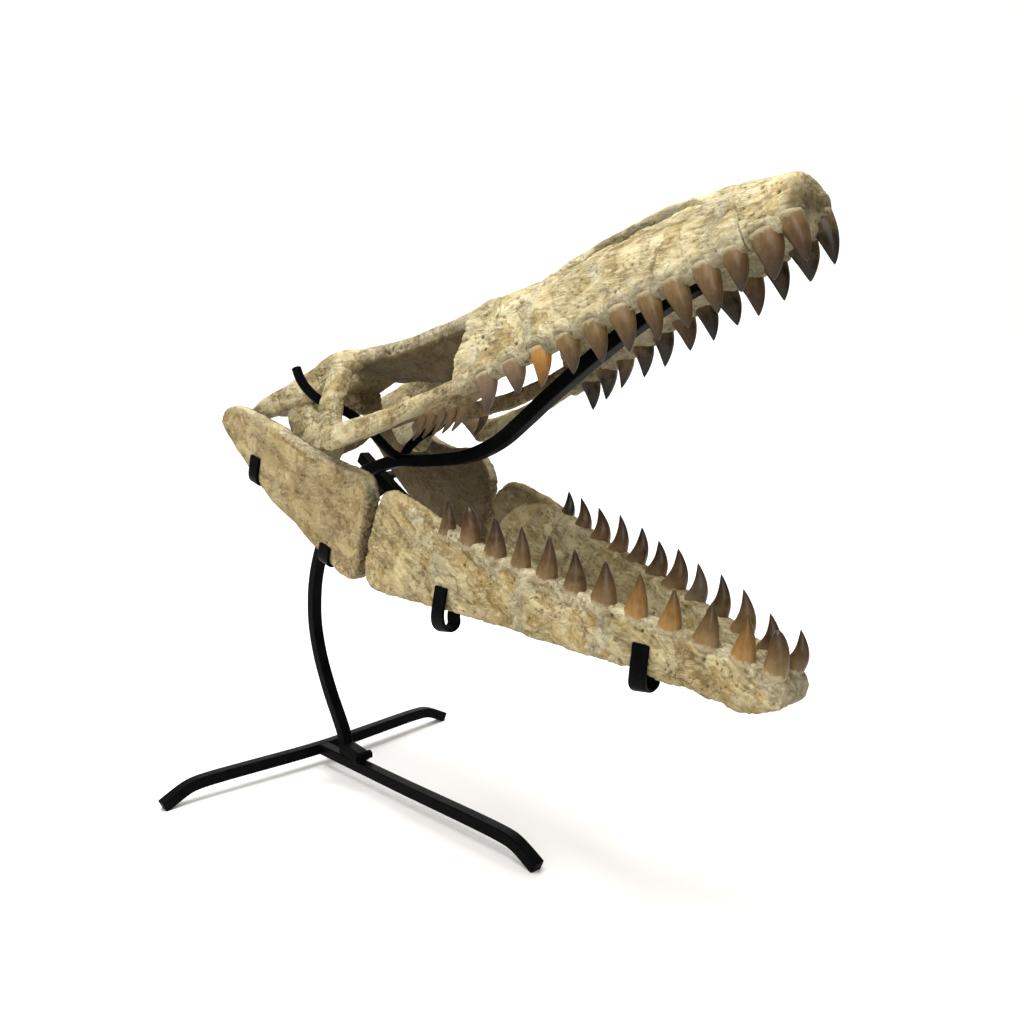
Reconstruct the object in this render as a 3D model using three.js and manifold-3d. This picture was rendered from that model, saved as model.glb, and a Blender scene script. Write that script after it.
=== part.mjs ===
// Mosasaur skull, jaws agape, on a black steel stand.
// Millimetres, +Z up. The snout points along +X, so the animal's left is +Y.
// Each bone is one closed solid. Teeth are joined to the bone they grow from.
import * as THREE from "three";
import { mergeVertices } from "three/addons/utils/BufferGeometryUtils.js";
import Module from "manifold-3d";

const wasm = await Module();
wasm.setup();

// ---------------------------------------------------------------- driving dimensions
// The lines of the upper and the lower tooth row meet at the gape point.
const GAPE_POINT = { x: 145, z: 350 };
const SKULL_PITCH = 21; // degrees, snout up
const JAW_PITCH = -15; // degrees, chin down
const CLEARANCE = 0.3; // between two solids that touch

// Tooth rows. Each tooth has its place along the jaw from the gape point, the distance of its
// middle from the midline, and its width. Tips and heights differ a little from side to side.
const UPPER_ROW = {
  places: [224, 250, 276, 300, 324, 348, 371, 392, 416, 438, 462, 480],
  halfWidths: [59.5, 53.5, 48.3, 43.5, 39.2, 35.1, 31.9, 28.8, 25.6, 22.9, 20.4, 18.2],
  widths: [15, 16.5, 16.5, 17.5, 19, 20, 19, 20, 21, 19.5, 20, 15],
  tips: {
    right: [214, 247, 268, 298, 323, 346, 370, 394, 417, 436, 459, 484],
    left: [219, 241, 264, 293, 318, 347, 371, 395, 415, 438, 461, 481],
  },
  heights: {
    right: [28, 25, 28, 29, 30.5, 32, 34, 34.5, 34.5, 28.5, 31, 29.5],
    left: [28, 27, 26, 28, 29.5, 28.5, 31, 30, 32, 31.5, 29, 27],
  },
  gumline: 3.4,
  up: -1,
};
const LOWER_ROW = {
  places: [176, 201.5, 227.5, 253, 277, 303, 327, 353, 379, 406, 433, 457],
  halfWidths: [69, 65.5, 61.2, 56.7, 51.9, 47, 41, 34.5, 27.8, 20.8, 13.6, 9.4],
  widths: [15, 17, 17.5, 17, 17, 17.5, 18.5, 17.5, 17, 19, 16.5, 15.5],
  tips: {
    right: [171, 193, 220, 246, 272, 295, 321, 349, 376, 404, 428, 451],
    left: [175, 194, 220, 248, 277, 300, 324, 349, 375, 400, 429, 456],
  },
  heights: {
    right: [27, 28.5, 28.5, 29.5, 31, 28.5, 29, 30, 28, 29, 30, 27.5],
    left: [25.5, 26, 26, 30, 29.5, 27, 30, 28.5, 31, 30.5, 25.5, 26],
  },
  gumline: 1.5,
  up: 1,
};
const TOOTH_ROOT = 5; // depth of a root inside its bone
const TOOTH_DEPTH = 0.88; // a tooth's size across the jaw, as a share of its width
const PREMAXILLARY_TEETH = 2; // the front teeth of each upper row
const MAXILLARY_TEETH = UPPER_ROW.places.length - PREMAXILLARY_TEETH;
const SNOUT_SPLIT = 450; // where the maxillae end and the premaxilla begins

// Stand
const BAR = 12; // square bar of the base, the post and the arms
const ROD = 9; // round rod of the cradle
const STRIP = { wide: 15, thick: 3 }; // flat hooks and clips
const BASE_NEAR = 187; // crossbar, from the leg to each end
const BASE_FAR = 197;
const BASE_SKEW = { near: 0, far: -0.11 }; // the crossbar is a little bent where the leg meets it
const BASE_LEG = 352;
const BASE_RISE = 19; // middle of a base bar above the floor
const FOOT_RUN = 31; // length of the part of a bar that slopes to the floor
const FOOT_RISE = 4; // middle of a bar's end above the floor, before the flat is cut

// ---------------------------------------------------------------- frames and helpers
const ACROSS = new THREE.Vector3(0, 1, 0);

/** A frame pitched about the gape point: u runs along the jaw, y to the left, v up. */
function pitched(degrees) {
  const c = Math.cos(THREE.MathUtils.degToRad(degrees));
  const s = Math.sin(THREE.MathUtils.degToRad(degrees));
  return (u, y, v) => new THREE.Vector3(GAPE_POINT.x + u * c - v * s, y, GAPE_POINT.z + u * s + v * c);
}
const skull = pitched(SKULL_PITCH);
const jaw = pitched(JAW_PITCH);
const room = (x, y, z) => new THREE.Vector3(x, y, z);
const skullAxis = skull(1, 0, 0).sub(skull(0, 0, 0));
const jawAxis = jaw(1, 0, 0).sub(jaw(0, 0, 0));
const ROOM_AXIS = new THREE.Vector3(1, 0, 0);

/** Straight-line reading of a table of values at rising places. */
function reading(places, values, place) {
  const found = places.findIndex((p) => p >= place);
  const j = found < 0 ? places.length - 1 : Math.max(1, found);
  const t = (place - places[j - 1]) / (places[j] - places[j - 1]);
  return THREE.MathUtils.lerp(values[j - 1], values[j], THREE.MathUtils.clamp(t, 0, 1));
}

/** A manifold solid from a closed geometry, its faces turned outwards. */
function solid(shape) {
  const bare = shape.clone();
  bare.deleteAttribute("normal");
  bare.deleteAttribute("uv");
  const welded = mergeVertices(bare, 1e-4);
  const corners = Uint32Array.from(welded.index.array);
  const spots = welded.getAttribute("position").array;
  const build = () =>
    new wasm.Manifold(new wasm.Mesh({ numProp: 3, vertProperties: spots, triVerts: corners }));
  const made = build();
  if (made.volume() > 0) return made;
  for (let i = 0; i < corners.length; i += 3) {
    [corners[i + 1], corners[i + 2]] = [corners[i + 2], corners[i + 1]];
  }
  return build();
}

/** A closed tube: ring(i, k) gives corner k of ring i. */
function tube(sides, steps, ring) {
  const shape = new THREE.CylinderGeometry(1, 1, 1, sides, steps);
  const spots = shape.getAttribute("position");
  const spot = new THREE.Vector3();
  for (let n = 0; n < spots.count; n++) {
    spot.fromBufferAttribute(spots, n);
    const i = Math.round((spot.y + 0.5) * steps);
    const k = Math.round((Math.atan2(spot.x, spot.z) / (2 * Math.PI)) * sides + sides) % sides;
    if (Math.hypot(spot.x, spot.z) > 0.5) {
      spot.copy(ring(i, k));
    } else {
      spot.set(0, 0, 0);
      for (let c = 0; c < sides; c++) spot.addScaledVector(ring(i, c), 1 / sides);
    }
    spots.setXYZ(n, spot.x, spot.y, spot.z);
  }
  return solid(shape);
}

/** Corners of a section, as shares of its half width and half height. soft 0 is square, 1 round. */
function section(sides, soft) {
  const angles = Array.from({ length: sides }, (_, k) => ((k + 0.5) / sides) * 2 * Math.PI);
  const bulge = (n) => Math.sign(n) * Math.abs(n) ** soft;
  const across = angles.map((a) => bulge(Math.sin(a)));
  const up = angles.map((a) => bulge(Math.cos(a)));
  return angles.map((_, k) => [across[k] / Math.max(...across), up[k] / Math.max(...up)]);
}

/**
 * A solid along a smooth line. A station is [u, y, v, wide, high]: a point of the frame, then the
 * section's size along "across" and square to it.
 */
function sweep(frame, stations, { sides = 8, steps = 12, soft = 0.8, across = ACROSS, grow = 0 } = {}) {
  const line = new THREE.CatmullRomCurve3(
    stations.map(([u, y, v]) => frame(u, y, v)),
    false,
    "centripetal",
  );
  const shares = stations.map((_, i) => i / (stations.length - 1));
  const wides = stations.map((station) => station[3]);
  const highs = stations.map((station) => station[4]);
  const corners = section(sides, soft);
  return tube(sides, steps, (i, k) => {
    const t = i / steps;
    const ahead = line.getTangent(t);
    const side = across.clone().addScaledVector(ahead, -across.dot(ahead)).normalize();
    const rise = side.clone().cross(ahead);
    const overrun = i === 0 ? -grow : i === steps ? grow : 0;
    return line
      .getPoint(t)
      .addScaledVector(ahead, overrun)
      .addScaledVector(side, corners[k][0] * (reading(shares, wides, t) / 2 + grow))
      .addScaledVector(rise, corners[k][1] * (reading(shares, highs, t) / 2 + grow));
  });
}

/** A plate of upright sections. A station is [u, y, top, bottom, thick]. */
function slab(frame, stations, { sides = 8, soft = 0.5, grow = 0 } = {}) {
  const corners = section(sides, soft);
  const last = stations.length - 1;
  return tube(sides, last, (i, k) => {
    const [u, y, top, bottom, thick] = stations[i];
    const overrun = i === 0 ? -grow : i === last ? grow : 0;
    return frame(
      u + overrun,
      y + corners[k][0] * (thick / 2 + grow),
      (top + bottom) / 2 + corners[k][1] * ((top - bottom) / 2 + grow),
    );
  });
}

/** A square or flat bar through the points. */
function bar(frame, points, { wide = BAR, thick = BAR, ...rest } = {}) {
  return sweep(frame, points.map((p) => [...p, wide, thick]), { sides: 4, soft: 0, ...rest });
}

/** Both sides of a paired piece: side is -1 for the right and 1 for the left. */
const SIDES = [
  ["right", -1],
  ["left", 1],
];
const mirrored = (side, stations) => stations.map(([u, y, ...rest]) => [u, side * y, ...rest]);

/** Tooth i of a row: round at the gum, recurved, with a convex front edge. */
function tooth(frame, row, name, i, grow = 0) {
  const side = name === "right" ? -1 : 1;
  const y = side * row.halfWidths[i];
  const width = row.widths[i];
  const height = row.heights[name][i];
  const axis = new THREE.QuadraticBezierCurve3(
    new THREE.Vector3(row.places[i], y, row.gumline),
    new THREE.Vector3(row.places[i] + 0.1 * width, y, row.gumline + row.up * 0.55 * height),
    new THREE.Vector3(row.tips[name][i], y, row.gumline + row.up * height),
  );
  const shares = [1.12, 0.76, 0.08]; // width at the root, half way and at the tip
  const stations = shares.map((share, n) => {
    const p = axis.getPoint(n / (shares.length - 1));
    const drop = n === 0 ? row.up * TOOTH_ROOT : 0;
    return [p.x, p.y, p.z - drop, width * TOOTH_DEPTH * share, width * share];
  });
  return sweep(frame, stations, { sides: 5, steps: stations.length - 1, soft: 1, grow });
}

const join = (solids) => solids.reduce((whole, next) => whole.add(next));
const cut = (whole, cutters) => cutters.reduce((left, cutter) => left.subtract(cutter), whole);

// ---------------------------------------------------------------- materials and nodes
const CREAM = 0xcdb98a;
const TAN = 0xb9a57a;
const STEEL = 0x14181a;
const bone = (colour) => new THREE.MeshStandardMaterial({ color: colour, roughness: 0.85 });
const steel = () => new THREE.MeshStandardMaterial({ color: STEEL, roughness: 0.45 });

const fossil = new THREE.Group();

/** Adds a solid to the model as a named mesh. */
function add(name, made, material) {
  const mesh = made.getMesh();
  const shape = new THREE.BufferGeometry();
  shape.setAttribute("position", new THREE.BufferAttribute(mesh.vertProperties, 3));
  shape.setIndex(new THREE.BufferAttribute(mesh.triVerts, 1));
  shape.computeVertexNormals();
  const piece = new THREE.Mesh(shape, material);
  piece.name = name;
  fossil.add(piece);
}

// ---------------------------------------------------------------- stand
const UNDER_FLOOR = { size: 900, depth: 60 };
const underFloor = solid(
  new THREE.BoxGeometry(UNDER_FLOOR.size, UNDER_FLOOR.size, UNDER_FLOOR.depth).translate(
    0,
    0,
    -UNDER_FLOOR.depth / 2,
  ),
);

/** Distances from the hub and heights of a base bar's slope, from its foot inwards. */
const footSlope = (reach) => [
  [reach, FOOT_RISE],
  [reach - 0.5 * FOOT_RUN, FOOT_RISE + 0.52 * (BASE_RISE - FOOT_RISE)],
  [reach - 0.9 * FOOT_RUN, BASE_RISE - 2],
  [reach - 1.3 * FOOT_RUN, BASE_RISE],
];
const crossbarLine = [
  ...footSlope(BASE_NEAR).map(([d, z]) => [d * BASE_SKEW.near, -d, z]),
  [0, 0, BASE_RISE],
  ...footSlope(BASE_FAR)
    .reverse()
    .map(([d, z]) => [d * BASE_SKEW.far, d, z]),
];
const crossbar = (grow) => bar(room, crossbarLine, { across: ROOM_AXIS, steps: 16, grow });
add("stand_crossbar", cut(crossbar(0), [underFloor]), steel());

const legLine = [
  [0, 0, BASE_RISE],
  ...footSlope(BASE_LEG)
    .reverse()
    .map(([d, z]) => [d, 0, z]),
];
const leg = (grow) => cut(bar(room, legLine, { steps: 8, grow }), [crossbar(CLEARANCE)]);
add("stand_leg", cut(leg(0), [underFloor]), steel());

// The post leans back from the leg, then turns forward under the palate.
const POST_FOOT = { x: 51, z: BASE_RISE + BAR / 2 + CLEARANCE };
const postLine = [
  [54, 0, BASE_RISE + 2],
  [POST_FOOT.x - 2, 0, 45],
  [37.5, 0, 65],
  [18.3, 0, 95.5],
  [3, 0, 127],
  [-6, 0, 160],
  [-7, 0, 186],
  [-3, 0, 214],
  [9, 0, 246],
  [34, 0, 286],
  [66, 0, 320],
  [92, 0, 337],
  [124, 0, 348],
  [160, 0, 355],
  [205, 0, 357],
  [264, 0, 364],
  [304, 0, 378],
  [335, 0, 397],
  [365, 0, 417],
  [419, 0, 450],
  [476, 0, 480],
  [512, 0, 495],
];
const post = (grow) => bar(room, postLine, { steps: 28, grow });
add("stand_post", cut(post(0), [leg(CLEARANCE)]), steel());

// Lug with a round nose at the foot of the post, and the bolt through it.
const LUG = { length: 37, wide: 13, high: 14, nose: 5.5 };
const lugOutline = new THREE.Shape();
lugOutline.moveTo(0, 0);
lugOutline.lineTo(LUG.length - LUG.nose, 0);
lugOutline.absarc(LUG.length - LUG.nose, LUG.nose, LUG.nose, -Math.PI / 2, Math.PI / 2, false);
lugOutline.lineTo(0, LUG.high);
lugOutline.closePath();
const lugShape = new THREE.ExtrudeGeometry(lugOutline, {
  depth: LUG.wide,
  bevelEnabled: false,
  curveSegments: 5,
});
lugShape.rotateX(Math.PI / 2);
lugShape.translate(POST_FOOT.x, LUG.wide / 2, POST_FOOT.z);
add("stand_lug", cut(solid(lugShape), [post(CLEARANCE), leg(CLEARANCE)]), steel());
const BOLT = { radius: 5, head: 4, x: POST_FOOT.x + LUG.length - LUG.nose, z: POST_FOOT.z + LUG.nose };
for (const [name, side] of SIDES) {
  const head = new THREE.CylinderGeometry(BOLT.radius, BOLT.radius, BOLT.head, 6);
  head.translate(BOLT.x, side * (LUG.wide / 2 + CLEARANCE + BOLT.head / 2), BOLT.z);
  add("stand_bolt_" + name, solid(head), steel());
}

// A bar beside the post runs down between the lower jaws and carries their hooks.
const JAW_BAR_SIDE = BAR + CLEARANCE;
// A hook hangs nearly plumb, so its low end lies further forward along the sloping jaw.
const HOOK_REAR = { place: 188, top: -42, bottom: -81, bar: -62, lean: 5, bulge: 3 };
const HOOK_FRONT = { place: 368, top: -15, bottom: -52, bar: -45, lean: 5, bulge: 2 };
const HOOK_TILT = new THREE.Vector3(1, 0, 0.12); // the way a hook's strip faces across
const jawBarLine = [
  [-68, JAW_BAR_SIDE, -13],
  [-20, JAW_BAR_SIDE, -27],
  [40, JAW_BAR_SIDE, -42],
  [76, JAW_BAR_SIDE, -49.5],
  [120, 5, -57],
  [155, 0, -60.5],
  [HOOK_REAR.place, 0, HOOK_REAR.bar],
  [270, 0, -57],
  [330, 0, -49],
  [HOOK_FRONT.place + STRIP.wide, 0, HOOK_FRONT.bar],
];
add("stand_jaw_bar", bar(jaw, jawBarLine, { steps: 18 }), steel());

// Outer wall and thickness of each lower jaw, along the jaw.
const JAW_WALL = {
  places: [88, 130, 178, 204, 231, 257, 281, 305, 331, 357, 382, 407, 433, 460, 474],
  outer: [75.5, 76.5, 76, 73, 69, 64.5, 60, 54.5, 49, 42, 35.5, 28.5, 22, 17, 15],
  thick: [14, 14.5, 15, 15.5, 16, 16, 16, 16, 16, 16, 15.5, 15.5, 15.5, 15.5, 13.5],
};
const jawOuter = (place) => reading(JAW_WALL.places, JAW_WALL.outer, place);
const jawThick = (place) => reading(JAW_WALL.places, JAW_WALL.thick, place);

/** A J-shaped strip: down the outside of a jaw, round under it, and in to the jaw bar. */
function jawHook(side, hook, grow) {
  const outer = jawOuter(hook.place) + STRIP.thick / 2 + CLEARANCE;
  const inner = outer - jawThick(hook.place) - STRIP.thick - 1;
  const middle = (outer + inner) / 2;
  const low = hook.place + hook.lean;
  const points = [
    [hook.place, outer, hook.top],
    [low, outer + hook.bulge, hook.bottom + 9],
    [low, middle + 7 + hook.bulge, hook.bottom + 2],
    [low, middle, hook.bottom],
    [low, middle - 7, hook.bottom + 2],
    [hook.place, inner, hook.bottom + 9],
    [hook.place, inner - 7, hook.bar],
    [hook.place, BAR / 2 + CLEARANCE, hook.bar],
  ];
  return bar(jaw, mirrored(side, points), {
    wide: STRIP.wide,
    thick: STRIP.thick,
    across: HOOK_TILT,
    steps: 10,
    grow,
  });
}

// Rear jaw plate: middle and thickness, from the rear tip to the joint with the dentary.
const PLATE_WALL = {
  places: [-180, -100, 0, 75],
  middle: [90, 85, 78.5, 72],
  thick: [10, 15, 16, 16],
};
const plateMiddle = (place) => reading(PLATE_WALL.places, PLATE_WALL.middle, place);
const plateThick = (place) => reading(PLATE_WALL.places, PLATE_WALL.thick, place);
// The rear arm starts at the post, which stands on the midline, and the front arm at the jaw bar.
const ARM_REAR = {
  place: -101,
  top: -19,
  bottom: -47,
  wide: 17,
  root: { place: -68, aside: 0, v: -64 },
};
const ARM_FRONT = {
  place: 28,
  top: -66,
  bottom: -85,
  wide: 17,
  root: { place: 28, aside: JAW_BAR_SIDE, v: -39 },
};

/** A flat arm that runs under a rear jaw plate and turns up on its outside. */
function plateArm(side, { place, top, bottom, wide, root }, grow) {
  const middle = plateMiddle(place);
  const reach = plateThick(place) / 2 + STRIP.thick / 2 + CLEARANCE;
  const end = BAR / 2 + CLEARANCE + side * root.aside;
  const points = [
    [place, middle + reach, top],
    [place, middle + reach, bottom + 6],
    [place, middle + reach - 2.5, bottom + 1],
    [place, middle, bottom],
    [place, middle - reach, bottom - 1],
    [(place + root.place) / 2, 0.75 * (middle - reach), (bottom + root.v) / 2],
    [root.place, end + 0.8 * BAR, root.v],
    [root.place, end, root.v],
  ];
  return bar(jaw, mirrored(side, points), {
    wide,
    thick: STRIP.thick,
    across: jawAxis,
    steps: 11,
    grow,
  });
}

/** A rod from the palate arm that passes under the squamosal and hooks up on its outside. */
function cradleRod(side, grow) {
  const start = [
    [
      [162, BAR / 2 + ROD / 2, 360],
      [165, 16, 364],
      [168, 26, 371],
    ],
    [
      [155, BAR / 2 + ROD / 2, 362],
      [159, 12, 372],
      [166, 22, 381],
    ],
  ];
  const points = [
    ...start[side > 0 ? 1 : 0],
    [168, 42, 387 + side * 2],
    [159, 58, 401],
    [146, 70, 409],
    [139, 80, 415],
    [132, 88, 425],
    [127, 92, 435],
    [123, 93, 444],
  ];
  return bar(room, mirrored(side, points), {
    sides: 6,
    soft: 0.8,
    wide: ROD,
    thick: ROD,
    across: ROOM_AXIS,
    steps: 10,
    grow,
  });
}

for (const [name, side] of SIDES) {
  const beside = [post(CLEARANCE)];
  add("stand_jaw_hook_rear_" + name, jawHook(side, HOOK_REAR, 0), steel());
  add("stand_jaw_hook_front_" + name, jawHook(side, HOOK_FRONT, 0), steel());
  add("stand_plate_arm_rear_" + name, cut(plateArm(side, ARM_REAR, 0), beside), steel());
  add("stand_plate_arm_front_" + name, cut(plateArm(side, ARM_FRONT, 0), beside), steel());
  add("stand_cradle_" + name, cut(cradleRod(side, 0), beside), steel());
}

// ---------------------------------------------------------------- lower jaw
/** The tooth-bearing bone: a deep plate that narrows and bends in to the chin. */
function dentary(name, side) {
  const outline = [
    [79.5, -30, -68],
    [83, -8, -85],
    [91, 6, -87],
    [104, 13, -85],
    [130, 15, -78.5],
    [174, 9, -67],
    [206, 4, -60],
    [250, 3, -54],
    [325, 2.5, -43],
    [370, 3, -38],
    [440, 4, -36.5],
    [456, 2, -32],
    [464, -1, -25],
    [471, -6, -16],
  ];
  const stations = outline.map(([u, top, bottom]) => {
    const thick = jawThick(u);
    return [u, side * (jawOuter(u) - thick / 2), top, bottom, thick];
  });
  const teeth = LOWER_ROW.places.map((_, i) => tooth(jaw, LOWER_ROW, name, i));
  return join([slab(jaw, stations), ...teeth]);
}

/** The plate behind the dentary, from the jaw joint's tip to the upright front edge. */
function jawPlate(side, crest) {
  const outline = [
    [-181, 2, -5],
    [-175, 9, -10],
    [-166, 15, -15],
    [-156, 19, -20],
    [-128, 20.5, -32],
    [-96, 19, -46],
    [-57, 15.5, -59],
    [-24, 12.5, -66],
    [6, 12 + 0.5 * crest, -75],
    [30, 13 + crest, -83],
    [56, 14 + 0.6 * crest, -88],
    [67, 10, -87],
    [75, 3, -79],
  ];
  const stations = outline.map(([u, top, bottom]) => [u, side * plateMiddle(u), top, bottom, plateThick(u)]);
  return slab(jaw, stations, { soft: 0.45 });
}
const LEFT_PLATE_CREST = 12; // the left plate stands a little taller at its front

for (const [name, side] of SIDES) {
  const hooks = [jawHook(side, HOOK_REAR, CLEARANCE), jawHook(side, HOOK_FRONT, CLEARANCE)];
  const arms = [plateArm(side, ARM_REAR, CLEARANCE), plateArm(side, ARM_FRONT, CLEARANCE)];
  const plate = jawPlate(side, side > 0 ? LEFT_PLATE_CREST : 0);
  add("dentary_" + name, cut(dentary(name, side), hooks), bone(CREAM));
  add("jaw_plate_" + name, cut(plate, arms), bone(TAN));
}

// ---------------------------------------------------------------- skull roof
const ROOF = {
  places: [37, 60, 90, 125, 160, 202, 230, 256],
  halfWidths: [57, 57, 52, 50, 48, 45, 33, 14],
  edges: [99, 94, 86, 78, 72.5, 66, 66, 67],
  crowns: [104, 99, 92, 84, 79, 75, 74, 73],
  keels: [75, 66, 54, 42, 34, 30, 34, 52],
};
const ROOF_EDGE = 12; // thickness of the roof at its rim

/** The broad roof between the eye sockets: a thin rim, a low crown and a keel below. */
function frontal(grow) {
  const steps = ROOF.places.length - 1;
  return tube(10, steps, (i, k) => {
    const half = ROOF.halfWidths[i];
    const edge = ROOF.edges[i];
    const crown = ROOF.crowns[i];
    const rightSide = [
      [0.25, ROOF.keels[i] - grow],
      [1, edge - ROOF_EDGE - grow],
      [1, edge + grow],
      [0.6, THREE.MathUtils.lerp(edge, crown, 0.7) + grow],
      [0.15, crown + grow],
    ];
    const right = k < rightSide.length;
    const [share, v] = right ? rightSide[k] : rightSide[2 * rightSide.length - 1 - k];
    const overrun = i === 0 ? -grow : i === steps ? grow : 0;
    const y = share * half + grow;
    return skull(ROOF.places[i] + overrun, right ? -y : y, v);
  });
}
add("frontal", frontal(0), bone(CREAM));

/** The narrow roof behind the frontal. */
function parietal(grow) {
  const stations = [
    [-70, 0, 99, 85, 30],
    [-60, 0, 101, 82, 44],
    [-34, 0, 102, 80, 38],
    [4, 0, 102, 80, 42],
    [20, 0, 102, 82, 62],
    [30, 0, 102, 84, 90],
  ];
  return slab(skull, stations, { sides: 8, soft: 0.6, grow });
}

/** The arm from the parietal's rear corner to the rear end of the squamosal. */
function supratemporal(side, grow) {
  const stations = [
    [-60, 14, 92, 15, 16],
    [-76, 30, 94, 15, 16],
    [-94, 48, 95, 13, 15],
    [-103, 64, 95, 11, 13],
  ];
  return sweep(skull, mirrored(side, stations), { sides: 8, steps: 3, across: skullAxis, grow });
}
add("parietal", cut(parietal(0), [frontal(CLEARANCE)]), bone(TAN));

/** The block under the parietal. */
function braincase() {
  const stations = [
    [-54, 0, 88, 78, 20],
    [-44, 0, 88, 72, 30],
    [-26, 0, 88, 65, 34],
    [-14, 0, 88, 60, 32],
    [-10, 0, 86, 63, 24],
  ];
  return cut(slab(skull, stations, { sides: 8, soft: 0.6 }), [parietal(CLEARANCE)]);
}
add("braincase", braincase(), bone(TAN));

/** The corner behind the eye, where the frontal, the jugal and the squamosal meet. */
function postorbital(side, grow) {
  const stations = [
    [62, 52, 86, 12, 16],
    [50, 56, 88, 18, 22],
    [30, 62, 88, 18, 27],
    [12, 65, 86, 16, 28],
  ];
  return sweep(skull, mirrored(side, stations), { sides: 8, steps: 4, soft: 0.75, grow });
}

/** The bar from the eye socket's corner to the rear of the skull. */
function squamosal(side, grow) {
  const stations = [
    [12, 65, 86, 16, 28],
    [-12, 67, 86, 16, 28],
    [-40, 69, 88, 16, 26],
    [-72, 71, 92, 15, 22],
    [-98, 72, 94, 14, 18],
    [-112, 72, 94, 12, 14],
    [-118, 72, 93, 8, 9],
  ];
  return sweep(skull, mirrored(side, stations), { sides: 8, steps: 7, soft: 0.75, grow });
}

/** The ear-shaped bone that hangs from the squamosal to the jaw joint. The left one is shorter. */
function quadrate(side, grow) {
  const foot = side > 0 ? 33 : 14;
  const stations = [
    [-40, 65, 80, 20, 36],
    [-38, 63, 68, 22, 48],
    [-34, 61, foot + 0.55 * (80 - foot), 24, 54],
    [-22, 60, foot + 0.28 * (80 - foot), 24, 52],
    [-8, 60, foot + 4, 22, 44],
    [-6, 60, foot, 16, 36],
  ];
  return sweep(skull, mirrored(side, stations), { sides: 8, steps: 7, soft: 0.8, grow });
}

/** The L-shaped bone under and behind the eye socket. */
function jugal(side, grow) {
  const shift = side > 0 ? 8 : 0; // the left corner sits further forward
  const lower = [
    [212, 63, 6, 10, 13],
    [197, 65.5, 5.5, 12, 14],
    [165, 71, 6, 13, 14.5],
    [140, 75, 7, 13, 16],
    [105, 80, 9, 14, 17.5],
    [70, 85.5, 13.5, 15, 19],
    [44 + shift, 88, 17, 17, 17],
    [35 + shift, 88, 19, 13, 12],
  ];
  const upper = [
    [44 + shift, 88, 17, 17, 18],
    [36 + 0.8 * shift, 84, 32, 18, 23],
    [35 + 0.4 * shift, 79, 50, 18, 22],
    [40, 70, 68, 18, 22],
    [45, 64, 82, 16, 22],
  ];
  return join([
    sweep(skull, mirrored(side, lower), { sides: 6, steps: 9, soft: 0.85, grow }),
    sweep(skull, mirrored(side, upper), { sides: 6, steps: 5, soft: 0.85, grow }),
  ]);
}

/** The toothed bar of the palate, from the quadrate to the inside of the maxilla. */
function pterygoid(side, grow) {
  const lift = side > 0 ? 12 : 0; // the left bar rides higher at its rear
  const stations = [
    [-14, 51, 26 + lift, 8, 20],
    [10, 45, 27 + lift, 9, 22],
    [34, 38, 30 + 0.7 * lift, 10, 15],
    [62, 33, 24 + 0.3 * lift, 10, 12],
    [95, 30, 20, 11, 14],
    [125, 29, 14, 12, 15],
    [155, 30, 9, 12, 15],
    [190, 36, 8, 11, 14],
    [212, 45, 11, 10, 12],
    [222, 51, 13, 8, 10],
  ];
  return sweep(skull, mirrored(side, stations), { sides: 6, steps: 10, soft: 0.85, grow });
}
const PALATE_ROW = { right: [97, 111, 125, 139, 152], left: [110] }; // places of its teeth
const PALATE_TOOTH = { top: 20, slope: -0.2, width: 10, height: 17, lean: -12 };

/** The small recurved teeth under a pterygoid. Most of the left ones are lost. */
function palateTeeth(side, name) {
  const { top, slope, width, height, lean } = PALATE_TOOTH;
  return PALATE_ROW[name].map((place) => {
    const v = top + slope * (place - PALATE_ROW.right[0]);
    const stations = [
      [place + 2, 30, v, 0.6 * width, width],
      [place, 30, v - 0.5 * height, 0.55 * width, 0.8 * width],
      [place + lean, 30, v - height, 0.8, 0.8],
    ];
    return sweep(skull, mirrored(side, stations), { sides: 4, steps: 2, soft: 0.6 });
  });
}

for (const [name, side] of SIDES) {
  const rod = cradleRod(side, CLEARANCE);
  const crown = parietal(CLEARANCE);
  const corner = cut(postorbital(side, 0), [frontal(CLEARANCE), crown, rod]);
  const ramus = supratemporal(side, CLEARANCE);
  const beam = cut(squamosal(side, 0), [postorbital(side, CLEARANCE), ramus, rod]);
  const hinge = cut(quadrate(side, 0), [squamosal(side, CLEARANCE), rod]);
  const cheek = cut(jugal(side, 0), [postorbital(side, CLEARANCE), rod]);
  const palate = cut(pterygoid(side, 0), [quadrate(side, CLEARANCE), rod]);
  add("postorbital_" + name, corner, bone(CREAM));
  add("squamosal_" + name, beam, bone(CREAM));
  add("supratemporal_" + name, cut(supratemporal(side, 0), [crown]), bone(TAN));
  add("quadrate_" + name, hinge, bone(TAN));
  add("jugal_" + name, cheek, bone(CREAM));
  add("pterygoid_" + name, join([palate, ...palateTeeth(side, name)]), bone(TAN));
}

// ---------------------------------------------------------------- snout
/** The bar between the nostrils, part of the premaxilla. */
function nasalBar(grow) {
  const stations = [
    [257, 0, 66, 12, 15],
    [286, 0, 66, 13, 16],
    [319, 0, 65.5, 14, 16],
    [360, 0, 62, 14, 16],
    [388, 0, 58.5, 14, 16],
    [414, 0, 53.5, 14, 16],
    [440, 0, 45, 15, 16],
    [462, 0, 36, 15, 14],
  ];
  return sweep(skull, stations, { sides: 8, steps: 9, soft: 0.8, grow });
}

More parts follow.
